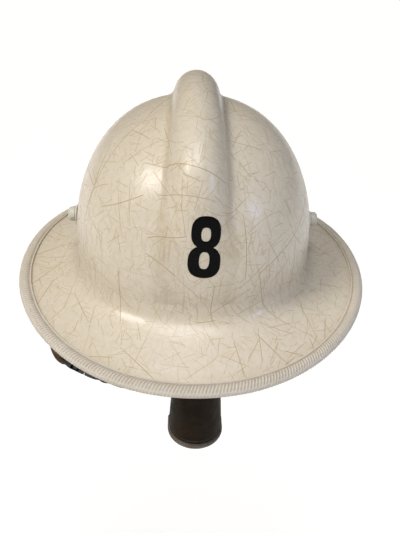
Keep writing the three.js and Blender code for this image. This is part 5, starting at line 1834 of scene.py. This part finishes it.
def chin_cup():
    """The leather chin cup: wall, floor, lining and rolled edge, with its stitches."""
    cup_wall("cup_leather", CUP_RADIUS, CUP_WALL, CUP_FOOT, CUP_MOUTH, CUP_LEGS, DARK_LEATHER,
             ["chin_cup"], 1.3)
    sheet = cup_path(CUP_RADIUS - 1.5, CUP_LEGS - 1.0, 60)
    axes = ((1.0, 0.0, 0.0), (0.0, 1.0, 0.0), (0.0, 0.0, 1.0))
    origin = (CUP_PIVOT[0], CUP_PIVOT[1], 0.0)
    plate("cup_floor", [sheet], CUP_FOOT + 0.4, CUP_FOOT + 4.0, origin, axes, DARK_LEATHER, "chin_cup",
          (), 0.8)
    cup_wall("cup_lining_leather", CUP_RADIUS - CUP_WALL - 0.3, 2.2, CUP_FOOT + 4.3, CUP_FOOT + 50.0,
             CUP_LEGS - 2.0, PALE_LEATHER, ["chin_cup_lining"], 1.0)
    bead_height = CUP_FOOT - 3.4
    bead = resampled(cup_line(CUP_RADIUS - 2.1, bead_height, CUP_LEGS), 1.5)
    tube("cup_rolled_edge", bead, 3.1, PALE_LEATHER, "chin_cup", ["chin_cup_rim"], 24)
    lines = [cup_line(CUP_RADIUS, height, CUP_LEGS - 2.0) for height in (CUP_MOUTH - 4.0, CUP_FOOT + 3.6)]
    stitching("cup_stitches", lines, DARK_THREAD, "chin_cup", 3.0, 2.3, 0.3)
    lines = [cup_line(CUP_RADIUS - CUP_WALL - 2.5, CUP_FOOT + 46.5, CUP_LEGS - 4.0)]
    stitching("lining_stitches", lines, PALE_THREAD, "chin_cup", 3.0, 2.3, 0.28)
    for side, word in SIDES:
        offset = CUP_PIVOT[0] * side
        name = f"cup_rivet_{word}"
        low, high = node_box(name)
        inner, outer = sorted((side * low[0] - offset, side * high[0] - offset))
        obj = rivet(f"cup_pivot_{word}", CUP_PIVOT, side, inner, outer, 1.8, 3.4, "chin_cup", [name], 1.0)
        obj.data.transform(Matrix.Translation((CUP_PIVOT[0] * MM, 0.0, 0.0)))


def cup_loops():
    """A wire loop at each side of the cup, held by a riveted ear."""
    for side, word in SIDES:
        def x(reach):
            return CUP_PIVOT[0] + side * reach

        bend, wire, half = 3.0, 1.15, 11.35
        corner = np.linspace(0.0, np.pi / 2.0, 9)
        far = LOOP_OUTER - wire
        front = [(x(far - bend + bend * math.sin(t)), -half + bend - bend * math.cos(t)) for t in corner]
        rear = [(px, -py) for px, py in front[::-1]]
        path = [(x(24.0), -half), *front, *rear, (x(24.0), half)]
        points = [(px, CUP_PIVOT[1] + py, CUP_PIVOT[2]) for px, py in path]
        tube(
            f"cup_wire_{word}", resampled(points, 0.9), wire, STEEL, "chin_strap",
            [f"cup_loop_{word}"], 14
        )
        outline = rounded_rectangle(12.5, -5.0, 5.0, 3.2)
        outline = outline + CUP_PIVOT[1:]
        hole = circle(CUP_PIVOT[1], CUP_PIVOT[2], 2.1)
        axes = ((0.0, 1.0, 0.0), (0.0, 0.0, 1.0), (side, 0.0, 0.0))
        origin = (CUP_PIVOT[0], 0.0, 0.0)
        plate(
            f"cup_ear_{word}", [outline, hole], 22.8, 24.0, origin, axes, STEEL, "chin_strap",
            (), 0.3
        )
        for y in (-half, half):
            points = [(x(reach), CUP_PIVOT[1] + y, CUP_PIVOT[2]) for reach in np.linspace(22.6, 25.6, 6)]
            tube(
                f"cup_weld_{word}_{'front' if y < 0 else 'rear'}", points, 1.7, STEEL, "chin_strap",
                sides=14
            )


outer_shell()
edge_trim()
numeral()
side_buttons()
side_fittings()
impact_liner()
suspension_band()
cradle_straps()
crown_disc()
head_band()
brow_cushion()
nape_band()
size_adjuster()
chin_straps()
strap_slider()
buckle()
chin_cup()
cup_loops()
